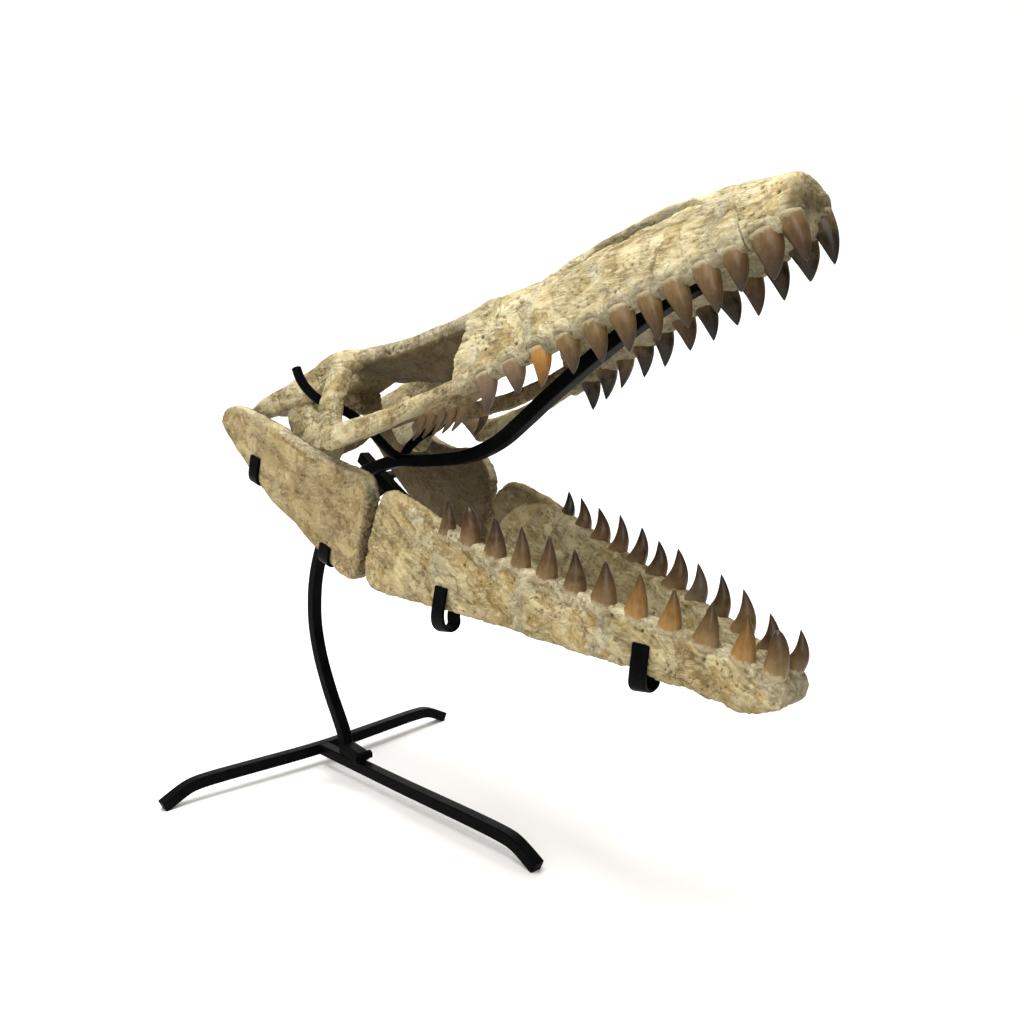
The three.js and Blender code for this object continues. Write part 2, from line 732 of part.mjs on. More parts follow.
/** The blunt front of the snout, with two teeth each side. */
function premaxilla() {
  const stations = [
    [SNOUT_SPLIT + CLEARANCE, 30, 48.5, -1],
    [464, 28.5, 44, -1],
    [475, 27.8, 40.8, -1],
    [484, 26.3, 38.8, -0.5],
    [490, 22.5, 36.2, 2.5],
    [494.5, 14, 31.5, 9],
  ];
  return tube(10, stations.length - 1, (i, k) => {
    const [u, half, top, bottom] = stations[i];
    const rise = top - bottom;
    const rightSide = [
      [0.92, bottom],
      [1, bottom + 0.2 * rise],
      [0.89, bottom + 0.58 * rise],
      [0.58, bottom + 0.88 * rise],
      [0.14, top],
    ];
    const right = k < rightSide.length;
    const [share, v] = right ? rightSide[k] : rightSide[2 * rightSide.length - 1 - k];
    return skull(u, (right ? -1 : 1) * share * half, v);
  });
}

const SNOUT = {
  places: [197, 218, 240, 262, 285, 310, 350, 400, 450],
  topY: [44, 38, 32, 27, 23, 20, 15, 8, 3],
  topV: [66, 66, 66, 63, 61, 60, 58, 54, 47],
  shelfY: [56, 52, 47, 40, 26, 8, 0.3, 0.3, 0.3],
  shelfV: [12, 12, 12, 11, 9, 8, 7, 7, 7],
};

/** One side of the snout: an outer wall on a toothed edge, with a shelf to the midline. */
function maxilla(side) {
  const between = THREE.MathUtils.lerp;
  return tube(10, SNOUT.places.length - 1, (i, k) => {
    const u = SNOUT.places[i];
    const flare = Math.max(0, UPPER_ROW.places[0] - u) * 0.22;
    const w = reading(UPPER_ROW.places, UPPER_ROW.halfWidths, u) + flare;
    const topY = SNOUT.topY[i];
    const topV = SNOUT.topV[i];
    const shelfY = Math.min(SNOUT.shelfY[i], w - 8);
    const shelfV = SNOUT.shelfV[i];
    const innerTop = Math.max(0.3, topY - 8);
    const ring = [
      [w + 6, -1],
      [w + 8, 8],
      [between(w + 8, topY, 0.3) + 3, between(8, topV, 0.42)],
      [between(w + 8, topY, 0.68) + 3, between(8, topV, 0.78)],
      [topY, topV],
      [innerTop, topV - 5],
      [Math.max(0.3, between(w - 4, innerTop, 0.5)), between(14, topV, 0.5)],
      [shelfY, shelfV + 11],
      [shelfY, shelfV],
      [w - 8, 1],
    ];
    return skull(u, side * ring[k][0], ring[k][1]);
  });
}

const lastMaxillary = [];
for (const [name, side] of SIDES) {
  const teeth = UPPER_ROW.places.slice(0, MAXILLARY_TEETH).map((_, i) => tooth(skull, UPPER_ROW, name, i));
  const neighbours = [
    jugal(side, CLEARANCE),
    pterygoid(side, CLEARANCE),
    frontal(CLEARANCE),
    nasalBar(CLEARANCE),
    post(CLEARANCE),
  ];
  add("maxilla_" + name, cut(join([maxilla(side), ...teeth]), neighbours), bone(CREAM));
  lastMaxillary.push(tooth(skull, UPPER_ROW, name, MAXILLARY_TEETH - 1, CLEARANCE));
}
const frontTeeth = SIDES.flatMap(([name]) =>
  UPPER_ROW.places.slice(MAXILLARY_TEETH).map((_, i) => tooth(skull, UPPER_ROW, name, MAXILLARY_TEETH + i)),
);
const snoutTip = cut(premaxilla(), lastMaxillary);
const behindSplit = join(SIDES.map(([, side]) => maxilla(side)));
const snoutTeeth = cut(join(frontTeeth), [behindSplit, ...lastMaxillary]);
add(
  "premaxilla",
  join([snoutTip, cut(nasalBar(0), [frontal(CLEARANCE)]), snoutTeeth]),
  bone(CREAM),
);

// ---------------------------------------------------------------- origin
// The middle of the model's footprint, on the floor.
const reach = new THREE.Box3().setFromObject(fossil, true);
const middle = reach.getCenter(new THREE.Vector3());
fossil.position.set(-middle.x, -middle.y, -reach.min.z);

export default fossil;
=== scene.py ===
# %% [markdown]
# # A mosasaur skull on its steel stand
# A real skull of this kind is a kit of separate bones: a roof, two cheeks, a toothed snout and two
# long lower jaws. A preparator cleans them, fills the gaps with grey filler, and hangs them on a
# bent steel stand. This lesson makes each bone as its own skin over the solid of the same name, so
# that every joint between bones stays where the frame has it.

# %% Frame
import math
import random

import bmesh
import bpy
from mathutils import Matrix, Vector, noise


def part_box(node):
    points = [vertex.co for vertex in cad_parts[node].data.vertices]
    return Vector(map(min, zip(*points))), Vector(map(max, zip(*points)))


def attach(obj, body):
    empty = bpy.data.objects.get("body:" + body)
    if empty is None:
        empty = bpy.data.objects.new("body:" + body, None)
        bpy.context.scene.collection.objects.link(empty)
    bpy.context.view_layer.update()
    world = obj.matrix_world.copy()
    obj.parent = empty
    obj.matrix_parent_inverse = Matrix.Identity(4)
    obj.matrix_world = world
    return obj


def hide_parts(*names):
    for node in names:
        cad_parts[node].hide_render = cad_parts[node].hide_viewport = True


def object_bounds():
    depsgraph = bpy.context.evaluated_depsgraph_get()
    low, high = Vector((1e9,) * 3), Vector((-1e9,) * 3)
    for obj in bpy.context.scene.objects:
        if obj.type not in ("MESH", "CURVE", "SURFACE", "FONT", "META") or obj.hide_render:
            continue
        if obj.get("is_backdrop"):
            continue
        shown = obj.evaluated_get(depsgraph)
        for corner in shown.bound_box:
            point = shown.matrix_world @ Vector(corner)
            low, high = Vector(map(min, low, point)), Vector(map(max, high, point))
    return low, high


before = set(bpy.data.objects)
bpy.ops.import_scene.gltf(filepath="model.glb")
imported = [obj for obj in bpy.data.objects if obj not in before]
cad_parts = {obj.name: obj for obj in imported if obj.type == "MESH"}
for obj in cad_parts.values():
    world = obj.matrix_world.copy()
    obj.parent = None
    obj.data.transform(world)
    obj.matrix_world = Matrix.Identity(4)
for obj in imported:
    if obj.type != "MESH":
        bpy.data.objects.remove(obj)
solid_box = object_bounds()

MM = 0.001
print("solids span", [round(high - low, 3) for low, high in zip(*solid_box)])

# %% [markdown]
# The stand's leg meets the crossbar at a point on the floor that is called the hub here. All the
# numbers below are millimetres from the hub. The snout lies along +X, the animal's left is +Y.
# Two tilted frames make the bones easy to describe: u runs along a jaw, v stands square to it, and
# both start where the two tooth rows would meet.

# %% Hub and tilted frames
LEG_REACH = 354.7
leg_low, leg_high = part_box("stand_leg")
HUB = Vector((leg_high.x - LEG_REACH * MM, (leg_low.y + leg_high.y) / 2, 0))
GAPE = (145, 350)


def tilted(degrees):
    """A frame turned about the gape point, as a function of u, y and v."""
    cos, sin = math.cos(math.radians(degrees)), math.sin(math.radians(degrees))

    def place(u, y, v):
        return HUB + MM * Vector((GAPE[0] + u * cos - v * sin, y, GAPE[1] + u * sin + v * cos))

    def back(spot):
        x, z = (spot.x - HUB.x) / MM - GAPE[0], spot.z / MM - GAPE[1]
        return x * cos + z * sin, (spot.y - HUB.y) / MM, z * cos - x * sin

    place.back, place.degrees = back, degrees
    return place


SKULL_PITCH, JAW_PITCH = 21, -15
skull, jaw, room = tilted(SKULL_PITCH), tilted(JAW_PITCH), tilted(0)
room_shift = lambda x, y, z: room(x - GAPE[0], y, z - GAPE[1])
print("hub at", [round(n, 4) for n in HUB])

# %% [markdown]
# The camera comes first, at the height of a person's eyes over a table, looking a little down.
# A lens of about 33 mm gives the same perspective that the specimen is usually shown in.

# %% Camera
LENS, SENSOR = 33.31, 36  # millimetres
CAMERA_SPOT = Vector((0.9143, -0.5633, 0.4108))  # metres from the hub
LOOK_DOWN, HEADING = 6.522, 46.583  # degrees
camera = bpy.data.objects.new("camera", bpy.data.cameras.new("camera"))
bpy.context.collection.objects.link(camera)
camera.data.lens, camera.data.sensor_width = LENS, SENSOR
camera.data.clip_start, camera.data.clip_end = 0.05, 60
camera.location = HUB + CAMERA_SPOT
camera.rotation_euler = (math.radians(90 - LOOK_DOWN), 0, math.radians(HEADING))
bpy.context.scene.camera = camera
# The plain Standard view shows each colour as it was painted.
bpy.context.scene.view_settings.view_transform = "Standard"
print(f"camera {CAMERA_SPOT.length:.2f} m from the hub")

# %% [markdown]
# Bones are described by tables, a row for each place along the bone. A reading between two rows
# follows a curve that never swings past them, so a table can have a sharp step and still give no
# bulge beside it.

# %% Readings from a table
def reading(rows, at):
    """The values of a table at a place: smooth between its rows, and never beyond them."""
    at = min(max(at, rows[0][0]), rows[-1][0])
    i = max(j for j in range(len(rows) - 1) if rows[j][0] <= at)
    low, high = rows[i], rows[i + 1]
    before, after = rows[max(i - 1, 0)], rows[min(i + 2, len(rows) - 1)]
    span = high[0] - low[0]
    t = (at - low[0]) / span
    out = []
    for c in range(1, len(low)):
        slope = (high[c] - low[c]) / span
        start = slope if i == 0 else (low[c] - before[c]) / (low[0] - before[0])
        end = slope if after is high else (after[c] - high[c]) / (after[0] - high[0])
        start, end = (
            2 * slope * s / (slope + s) if slope * s > 0 else 0.0 for s in (start, end)
        )
        out.append(
            low[c] * (1 + 2 * t) * (1 - t) ** 2
            + start * span * t * (1 - t) ** 2
            + high[c] * t * t * (3 - 2 * t)
            + end * span * t * t * (t - 1)
        )
    return out


def spread(first, last, count):
    """Evenly spread places from first to last."""
    return [first + (last - first) * i / (count - 1) for i in range(count)]


print("halfway from 0 to 8 a table reads", reading([(0, 0), (2, 8)], 1))


# %% [markdown]
# A long bone is lofted: a circle of corners is extruded from ring to ring, and each ring is moved
# to its own outline. Spin or bevel would give turned or boxy parts, but a bone changes its section
# all the way along. The extruded vertices remember which corner they came from.

# %% Loft
def loft(bm, rings):
    """Adds a closed skin through rings of points to a bmesh."""
    corner = bm.verts.layers.int.get("corner") or bm.verts.layers.int.new("corner")
    first = bmesh.ops.create_circle(bm, segments=len(rings[0]), radius=MM)["verts"]
    for k, vert in enumerate(first):
        vert[corner] = k
        vert.co = rings[0][k]
    start = list({edge for vert in first for edge in vert.link_edges})
    loop = start
    for ring in rings[1:]:
        grown = bmesh.ops.extrude_edge_only(bm, edges=loop)["geom"]
        loop = [g for g in grown if isinstance(g, bmesh.types.BMEdge) and g.is_boundary]
        for vert in (g for g in grown if isinstance(g, bmesh.types.BMVert)):
            vert.co = ring[vert[corner]]
    bmesh.ops.edgeloop_fill(bm, edges=start)
    bmesh.ops.edgeloop_fill(bm, edges=loop)


def section(count, soft):
    """Shares of half width and half height round a section: soft 1 is an ellipse, 0 a square."""
    turns = [2 * math.pi * (k + 0.5) / count for k in range(count)]
    bulge = lambda n: math.copysign(abs(n) ** soft, n)
    shares = [(bulge(math.sin(a)), bulge(math.cos(a))) for a in turns]
    wide = max(s[0] for s in shares)
    high = max(s[1] for s in shares)
    return [(across / wide, up / high) for across, up in shares]


print("first corner of a soft section:", section(20, 0.85)[0])


# %% [markdown]
# Two more ways to place rings. A limb follows a curved line with a section square to it. A plate
# has upright sections, each with its own top, bottom and thickness.

# %% Limbs and plates
FINE = 24  # points worked out between two stations


def line_through(stations, steps):
    """A smooth line through stations, read at even distances; extra values ride along."""
    knots = [0.0]
    for a, b in zip(stations, stations[1:]):
        knots.append(knots[-1] + math.dist(a[:3], b[:3]) ** 0.5)
    last = len(stations) - 1
    slopes = []
    for i in range(last + 1):
        a, b = stations[max(i - 1, 0)], stations[min(i + 1, last)]
        before, after = knots[i] - knots[max(i - 1, 0)], knots[min(i + 1, last)] - knots[i]
        slopes.append([
            (r - q) / after if not before else (q - p) / before if not after
            else (q - p) / before - (r - p) / (before + after) + (r - q) / after
            for p, q, r in zip(a, stations[i], b)
        ])
    fine = []
    for j in range(last):
        span = knots[j + 1] - knots[j]
        for n in range(FINE + (j == last - 1)):
            t = n / FINE
            fine.append([
                p * (1 + 2 * t) * (1 - t) ** 2 + m * span * t * (1 - t) ** 2
                + q * t * t * (3 - 2 * t) + k * span * t * t * (t - 1)
                for p, q, m, k in zip(stations[j], stations[j + 1], slopes[j], slopes[j + 1])
            ])
    walked = [0.0]
    for a, b in zip(fine, fine[1:]):
        walked.append(walked[-1] + math.dist(a[:3], b[:3]))
    out, i = [], 0
    for n in range(steps + 1):
        goal = walked[-1] * n / steps
        while i < len(fine) - 2 and walked[i + 1] < goal:
            i += 1
        t = (goal - walked[i]) / max(1e-9, walked[i + 1] - walked[i])
        out.append([a + (b - a) * min(t, 1.0) for a, b in zip(fine[i], fine[i + 1])])
    return out


def limb_rings(place, stations, steps=24, count=20, soft=0.85, across=Vector((0, 1, 0))):
    """Rings along a line. A station is u, y, v, then the size across and the size square to it."""
    rows = line_through(stations, steps)
    spots = [place(*row[:3]) for row in rows]
    shares = section(count, soft)
    rings = []
    for i, row in enumerate(rows):
        ahead = (spots[min(i + 1, steps)] - spots[max(i - 1, 0)]).normalized()
        side = (across - ahead * across.dot(ahead)).normalized()
        rise = side.cross(ahead)
        rings.append(
            [spots[i] + MM / 2 * (side * a * row[3] + rise * b * row[4]) for a, b in shares]
        )
    return rings


def plate_rings(place, rows, steps=60, count=28, soft=0.5):
    """Rings of a plate. A row of its table is u, y, top, bottom, thickness."""
    shares = section(count, soft)
    rings = []
    for u in spread(rows[0][0], rows[-1][0], steps):
        y, top, bottom, thick = reading(rows, u)
        middle, half = (top + bottom) / 2, (top - bottom) / 2
        rings.append([place(u, y + a * thick / 2, middle + b * half) for a, b in shares])
    return rings


def mirrored(side, stations):
    """The same stations on the right (side -1) or the left (side 1)."""
    return [[row[0], side * row[1], *row[2:]] for row in stations]


SIDES = (("right", -1), ("left", 1))
print("a limb between two stations has", len(line_through([(0, 0, 0), (9, 0, 0)], 24)), "rings")

# %% [markdown]
# The lofts of a bone may overlap. Blender's voxel remesh makes one even skin over them, which also
# rounds every edge a little, as weather does. Joining them with booleans would leave sharp creases.

# %% Even skin
VOXEL = 1.0  # millimetres between the vertices of a skin


def even_skin(bm, voxel):
    """One skin of even faces over all the closed forms in a bmesh."""
    bmesh.ops.recalc_face_normals(bm, faces=bm.faces)
    # Short diagonals are the same on every run, whatever order the corners were made in.
    bmesh.ops.triangulate(bm, faces=bm.faces, quad_method="SHORT_EDGE", ngon_method="BEAUTY")
    rough_mesh = bpy.data.meshes.new("rough")
    bm.to_mesh(rough_mesh)
    bm.free()
    rough = bpy.data.objects.new("rough", rough_mesh)
    bpy.context.collection.objects.link(rough)
    remesh = rough.modifiers.new("even_skin", "REMESH")
    remesh.mode, remesh.voxel_size = "VOXEL", voxel * MM
    shaped = bpy.data.meshes.new_from_object(
        rough.evaluated_get(bpy.context.evaluated_depsgraph_get())
    )
    made = bmesh.new()
    made.from_mesh(shaped)
    bpy.data.objects.remove(rough)
    bpy.data.meshes.remove(rough_mesh)
    bpy.data.meshes.remove(shaped)
    bmesh.ops.smooth_vert(
        made, verts=made.verts, factor=0.5, use_axis_x=True, use_axis_y=True, use_axis_z=True
    )
    return made


print("skins have a vertex every", VOXEL, "mm")

# %% [markdown]
# Some marks have their own place on a bone: a filled break, a patch of plaster, the small hole of a
# nerve. Each is a rule that says how strong the mark is at a place, so it can fade at its edge.

# %% Marks on a bone
def fade(value, low, high):
    """0 at low, 1 at high, and a soft step between."""
    t = min(1.0, max(0.0, (value - low) / (high - low)))
    return t * t * (3 - 2 * t)


def dab(u, v, at, reach):
    """1 at the middle of an oval spot, 0 at its rim."""
    return fade(math.hypot((u - at[0]) / reach[0], (v - at[1]) / reach[1]), 1.0, 0.35)


def nearest(spot, a, b):
    """The point of the line from a to b that is nearest to a spot."""
    along = (b[0] - a[0], b[1] - a[1])
    t = ((spot[0] - a[0]) * along[0] + (spot[1] - a[1]) * along[1]) / math.hypot(*along) ** 2
    t = min(1.0, max(0.0, t))
    return a[0] + t * along[0], a[1] + t * along[1]


def seam(u, v, points, wide):
    """1 on a broken line of points, 0 beyond its width."""
    near = min(math.dist((u, v), nearest((u, v), a, b)) for a, b in zip(points, points[1:]))
    return fade(near, wide, 0.25 * wide)


def nerve_hole(u, v, holes, radius=1.7):
    """1 in a small round hole, 0 outside all of them."""
    return max(fade(math.hypot(u - a, v - b), radius, radius - 1) for a, b in holes)


def ragged(u, v, reach=5):
    """A place moved about by noise, so that a mark read there has a wavy edge."""
    move = reach * noise.noise_vector(Vector((u / 9, v / 9, 4)))
    return u + move.x, v + move.y


def no_marks(u, y, v):
    """Depth in millimetres, stains with painted shade, and filler: none."""
    return 0.0, 0.0, 0.0


print("a dab fades from 1 to 0:", [round(dab(u, 0, (0, 0), (10, 5)), 2) for u in (0, 5, 10)])

# %% [markdown]
# Fossil bone is never smooth. Each vertex is pushed in or out: broad swellings, plates where a
# sheet of bone has flaked off, fibres along the bone, grain, and pits. Sculpting by hand would look
# as good, but noise gives the same bone on every run. The height, the stains, which also hold
# painted shade, and the filler of each vertex are kept for the colour.

# %% Weathering
noise.seed_set(7)  # without a seed, vector noise follows the clock and each run is a new bone
# Sizes of the marks in millimetres. Fibres and flaked sheets have a size along the bone, one
# through it and one up it; the others are as large each way.
FIBRE, SHEET = (30, 6, 2.6), (26, 14, 12)
SWELLING, BEND, PIT, PITTED_AREA, CRUMBS = 36, 19, 4.6, 17, (5.2, 2.3)


def weather(bm, place, swell=0.8, flakes=0.7, fibres=0.3, grain=0.22, pits=0.8, slant=0.0,
            seed=0.0, marks=no_marks):
    """Pushes a skin in and out along its normals, and keeps height, stains with painted shade, and filler.
    """
    layers = [bm.verts.layers.float.new(name) for name in ("height", "stain_and_shade", "filler")]
    bm.normal_update()
    shift = Vector((7.3 * seed, 3.1 * seed, -5.7 * seed))
    cos, sin = math.cos(math.radians(slant)), math.sin(math.radians(slant))
    pushes = []
    for vert in bm.verts:
        u, y, v = place.back(vert.co)
        spot = Vector((u, y, v)) + shift
        bent = spot + 3.5 * noise.noise_vector(spot / BEND)
        run, rise = bent.x * cos + bent.z * sin, bent.z * cos - bent.x * sin
        strand = Vector((run / FIBRE[0], bent.y / FIBRE[1], rise / FIBRE[2]))
        sheet = noise.noise(Vector((run / SHEET[0], bent.y / SHEET[1], rise / SHEET[2])))
        plate = fade(sheet, -0.16, -0.10) + fade(sheet, 0.12, 0.17) - 1
        hair = 1 - 2 * abs(noise.noise(strand))
        cell = noise.voronoi(spot / PIT)[0][0]
        area = noise.noise(spot / PITTED_AREA + Vector((5, 9, 2)))
        hole = fade(cell, 0.30, 0.12) * fade(area, 0.02, 0.3)
        depth, stain_and_shade, filler = marks(u, y, v)
        bony = 1 - 0.6 * filler
        crumb = noise.noise(bent / CRUMBS[0]) + 0.6 * noise.noise(spot / CRUMBS[1])
        push = swell * noise.noise(spot / SWELLING) + flakes * plate * bony + grain * crumb
        push += fibres * (hair - 0.5) * bony - pits * hole * bony - depth
        pushes.append(vert.normal * push * MM)
        vert[layers[0]] = 0.5 + 0.25 * plate + 0.2 * (hair - 0.5) + 0.25 * crumb
        # Dark pits, and the stains of the marks, some of which are painted shade.
        vert[layers[1]] = min(1.0, stain_and_shade + 0.8 * hole)
        vert[layers[2]] = filler
    for vert, push in zip(bm.verts, pushes):
        vert.co += push


print("fibres are", FIBRE[0], "mm long and", FIBRE[2], "mm wide")

# %% [markdown]
# A finished piece rides on the one body of this still model and stands for the solid of its name.

# %% Finishing a piece
def finish(name, bm, material, nodes, slot, smooth=None):
    """Makes a bmesh into a piece of the model and tells the frame about it."""
    bmesh.ops.recalc_face_normals(bm, faces=bm.faces)
    mesh = bpy.data.meshes.new(name)
    for edge in bm.edges:
        edge.smooth = smooth is None or edge.calc_face_angle(0) < math.radians(smooth)
    for face in bm.faces:
        face.smooth = True
    bm.to_mesh(mesh)
    bm.free()
    piece = bpy.data.objects.new(name, mesh)
    bpy.context.collection.objects.link(piece)
    mesh.materials.append(material)
    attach(piece, "root")
    if nodes:
        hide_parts(*nodes)
    sides = sum(len(p.vertices) - 2 for p in mesh.polygons)
    print(f"{name}: {sides} triangles")
    return piece


# %% [markdown]
# ## Materials
# A material is a tree of nodes. A few helpers add a node, join it and set its values in one line, so
# that a recipe reads from top to bottom like the coats of a finish. Painting by hand would need
# unfolded skins, and a voxel skin has no seams to unfold it by.

# %% Node helpers
def new_material(name):
    """A new material, its node tree, a quick way to add and join nodes, and its shader."""
    material = bpy.data.materials.new(name)
    material.use_nodes = True
    tree = material.node_tree

    def add(kind, inputs=(), **settings):
        node = tree.nodes.new(kind)
        for key, value in settings.items():
            setattr(node, key, value)
        for socket, value in dict(inputs).items():
            if isinstance(value, bpy.types.NodeSocket):
                tree.links.new(value, node.inputs[socket])
            else:
                node.inputs[socket].default_value = value
        return node

    return material, tree, add, tree.nodes["Principled BSDF"]


def ramp(add, value, stops):
    """A colour ramp through (position, grey or colour) stops."""
    node = add("ShaderNodeValToRGB", {"Fac": value})
    marks = node.color_ramp.elements
    while len(marks) < len(stops):
        marks.new(0.5)
    for mark, (position, colour) in zip(marks, stops):
        mark.position = position
        grey = isinstance(colour, (int, float))
        mark.color = (colour,) * 3 + (1,) if grey else (*colour, 1)
    return node.outputs["Color"]


def blend(add, share, first, second, mode="MIX"):
    """The first colour, with a share of the second laid over it."""
    first, second = [
        colour if isinstance(colour, bpy.types.NodeSocket) else (*colour, 1)
        for colour in (first, second)
    ]
    inputs = {0: share, 6: first, 7: second}
    return add("ShaderNodeMix", inputs, data_type="RGBA", blend_type=mode).outputs[2]


def combine(add, first, second, how="MULTIPLY"):
    """Two greys multiplied, added or subtracted."""
    return add("ShaderNodeMath", {0: first, 1: second}, operation=how).outputs[0]


def noise_on(add, where, scale, detail=4, roughness=0.6, distortion=0.0):
    """A grey noise, read at coordinates."""
    node = add("ShaderNodeTexNoise", {"Vector": where, "Scale": scale, "Detail": detail,
                                      "Roughness": roughness, "Distortion": distortion})
    return node.outputs["Fac"]


def wandering(add, where, start, scale, detail, reach):
    """Coordinates moved about by a noise, so that what is read there is never straight."""
    move = add("ShaderNodeTexNoise", {"Vector": where, "Scale": scale, "Detail": detail})
    move = add("ShaderNodeVectorMath", {0: move.outputs["Color"], "Scale": reach}, operation="SCALE")
    return add("ShaderNodeVectorMath", {0: start, 1: move.outputs[0]}, operation="ADD").outputs[0]


def surface(tree, add, shader, colour, rough, height, strength, distance):
    """Joins a colour, a roughness and a bump to the shader."""
    bump = add("ShaderNodeBump", {"Height": height, "Strength": strength, "Distance": distance})
    for socket, value in (("Base Color", colour), ("Roughness", rough), ("Normal", bump.outputs[0])):
        tree.links.new(value, shader.inputs[socket])


print("materials so far:", len(bpy.data.materials))

# %% [markdown]
# Fossil bone from phosphate beds is cream to ochre in irregular patches. Its fibres catch the
# light, and its pits and breaks hold brown dirt. Faces that look down are painted browner, as
# painted shade. The colours are noise on Object coordinates, which sits still on every side,
# mixed by the height, the stains with their painted shade, and the filler that the weathering
# left on the vertices.

# %% Patterns of fossil bone
def bone_patterns(add, degrees):
    """Greys that say where each thing shows on a bone whose fibres are tilted by so many degrees."""
    where = add("ShaderNodeTexCoord").outputs["Object"]
    turn = (0, math.radians(degrees), 0)
    # Fibres wander, so their coordinates are bent by a slow noise before they are stretched.
    bent = wandering(add, where, where, 28, 2, 0.011)
    streaks = add("ShaderNodeMapping", {"Vector": bent, "Rotation": turn, "Scale": (36, 400, 400)})
    hairs = add("ShaderNodeMapping", {"Vector": bent, "Rotation": turn, "Scale": (80, 1300, 1300)})
    broad = noise_on(add, bent, 15, 3, 0.55, 0.4)
    patch = noise_on(add, bent, 30, 7, 0.66, 0.5)
    # Cracks follow the borders of large cells, with jags; pores are the middles of small ones.
    jags = wandering(add, where, bent, 110, 5, 0.016)
    cracks = add("ShaderNodeTexVoronoi", {"Vector": jags, "Scale": 34}, feature="DISTANCE_TO_EDGE")
    crack = ramp(add, cracks.outputs["Distance"], [(0.0, 1.0), (0.02, 0.0)])
    pores = add("ShaderNodeTexVoronoi", {"Vector": where, "Scale": 420})
    pore = ramp(add, pores.outputs["Distance"], [(0.10, 1.0), (0.22, 0.0)])
    return {
        "broad": broad,
        "patch": patch,
        "blotch": noise_on(add, where, 140, 6, 0.74, 0.4),
        "sand": noise_on(add, where, 620, 4, 0.7),
        "streak": noise_on(add, streaks.outputs[0], 1, 6, 0.68, 0.3),
        "hair": noise_on(add, hairs.outputs[0], 1, 4, 0.65),
        "flaked": ramp(add, patch, [(0.505, 0.0), (0.53, 1.0)]),
        "crack": combine(add, crack, ramp(add, broad, [(0.52, 0.0), (0.60, 0.8)])),
        "pore": combine(add, pore, ramp(add, patch, [(0.48, 0.0), (0.62, 0.7)])),
        # Calm areas are smooth and even; elsewhere the fibres and the dirt between them show.
        "calm": ramp(add, noise_on(add, bent, 24, 2, 0.5, 0.8), [(0.44, 0.30), (0.54, 1.0)]),
        **{kept: add("ShaderNodeAttribute", attribute_name=kept).outputs["Fac"]
           for kept in ("height", "stain_and_shade", "filler")},
    }


def layered(add, seen, base, layers):
    """Colours laid one over the other, each where a ramp of its pattern lets it show."""
    for pattern, stops, colour in layers:
        base = blend(add, ramp(add, seen[pattern], stops), base, colour)
    return base


# %% [markdown]
# The colour starts with the patches, then come the worn fibres, dirt in the hollows, the filler and
# painted shade on faces that look down; last come the stains, some of which are painted shade.
# Filler is plaster toned with bone dust: a warm grey, ragged at its edge.

# %% Colour and relief of fossil bone
FILLER_GREYS = [(0.34, (0.21, 0.175, 0.10)), (0.50, (0.42, 0.37, 0.235)), (0.64, (0.60, 0.55, 0.39))]


def filler_share(add, seen):
    """Where filler shows."""
    edge = combine(add, combine(add, seen["blotch"], 1.3), combine(add, seen["patch"], 1.5), "ADD")
    share = combine(add, seen["filler"], combine(add, edge, 1.1, "SUBTRACT"), "ADD")
    return ramp(add, share, [(0.42, 0.0), (0.85, 0.85)])


def downward_shade(add, shade_below):
    """The share of painted shade: full on faces that look down, and 0 on faces that look up."""
    facing = add("ShaderNodeSeparateXYZ", {"Vector": add("ShaderNodeNewGeometry").outputs["Normal"]})
    look = {"Value": facing.outputs["Z"], 1: -0.6, 2: 0.15, 3: shade_below, 4: 0.0}
    return add("ShaderNodeMapRange", look).outputs[0]


def bone_colour(add, seen, pale, middle, ochre, brown, shade_below):
    """All the colours of a bone, from the patches up to the stains and the painted shade."""
    dirt = tuple(0.45 * c for c in brown)
    base = layered(add, seen, middle, [("broad", [(0.44, 0.0), (0.56, 0.7)], pale)])
    base = blend(add, combine(add, seen["flaked"], 0.85), base, ochre)
    base = layered(add, seen, base, [("blotch", [(0.50, 0.0), (0.62, 0.45)], pale)])
    worn = layered(add, seen, base, [
        ("streak", [(0.53, 0.0), (0.60, 0.7)], pale), ("streak", [(0.34, 0.5), (0.46, 0.0)], brown),
        ("hair", [(0.58, 0.0), (0.68, 0.45)], brown), ("sand", [(0.34, 0.4), (0.44, 0.0)], brown),
        ("sand", [(0.60, 0.0), (0.70, 0.5)], pale),
    ])
    base = layered(add, seen, blend(add, seen["calm"], base, worn), [
        ("height", [(0.62, 0.0), (0.95, 0.45)], pale), ("height", [(0.08, 0.65), (0.38, 0.0)], brown),
    ])
    base = blend(add, combine(add, seen["crack"], 0.5), base, dirt)
    base = blend(add, combine(add, seen["pore"], 0.55), base, dirt)
    base = blend(add, filler_share(add, seen), base, ramp(add, seen["blotch"], FILLER_GREYS))
    # Painted shade: faces that look down are mixed towards brown.
    base = blend(add, downward_shade(add, shade_below), base, blend(add, 0.55, base, brown))
    # The stains of the marks hold dirt, and painted shade where the marks of a bone put it.
    return layered(add, seen, base, [("stain_and_shade", [(0.0, 0.0), (1.0, 0.95)], dirt)])


def bone_relief(add, seen):
    """The fine height of a bone: fibres and sand where it is worn, blotches all over, and cracks."""
    rise = combine(add, seen["sand"], 0.5)
    for pattern, share in (("hair", 0.6), ("streak", 1.3)):
        rise = combine(add, rise, combine(add, seen[pattern], share), "ADD")
    rise = combine(add, rise, seen["calm"])
    rise = combine(add, rise, combine(add, seen["blotch"], 0.9), "ADD")
    for pattern, share in (("flaked", 0.45), ("crack", 0.9), ("pore", 0.5)):
        rise = combine(add, rise, combine(add, seen[pattern], share), "SUBTRACT")
    return rise
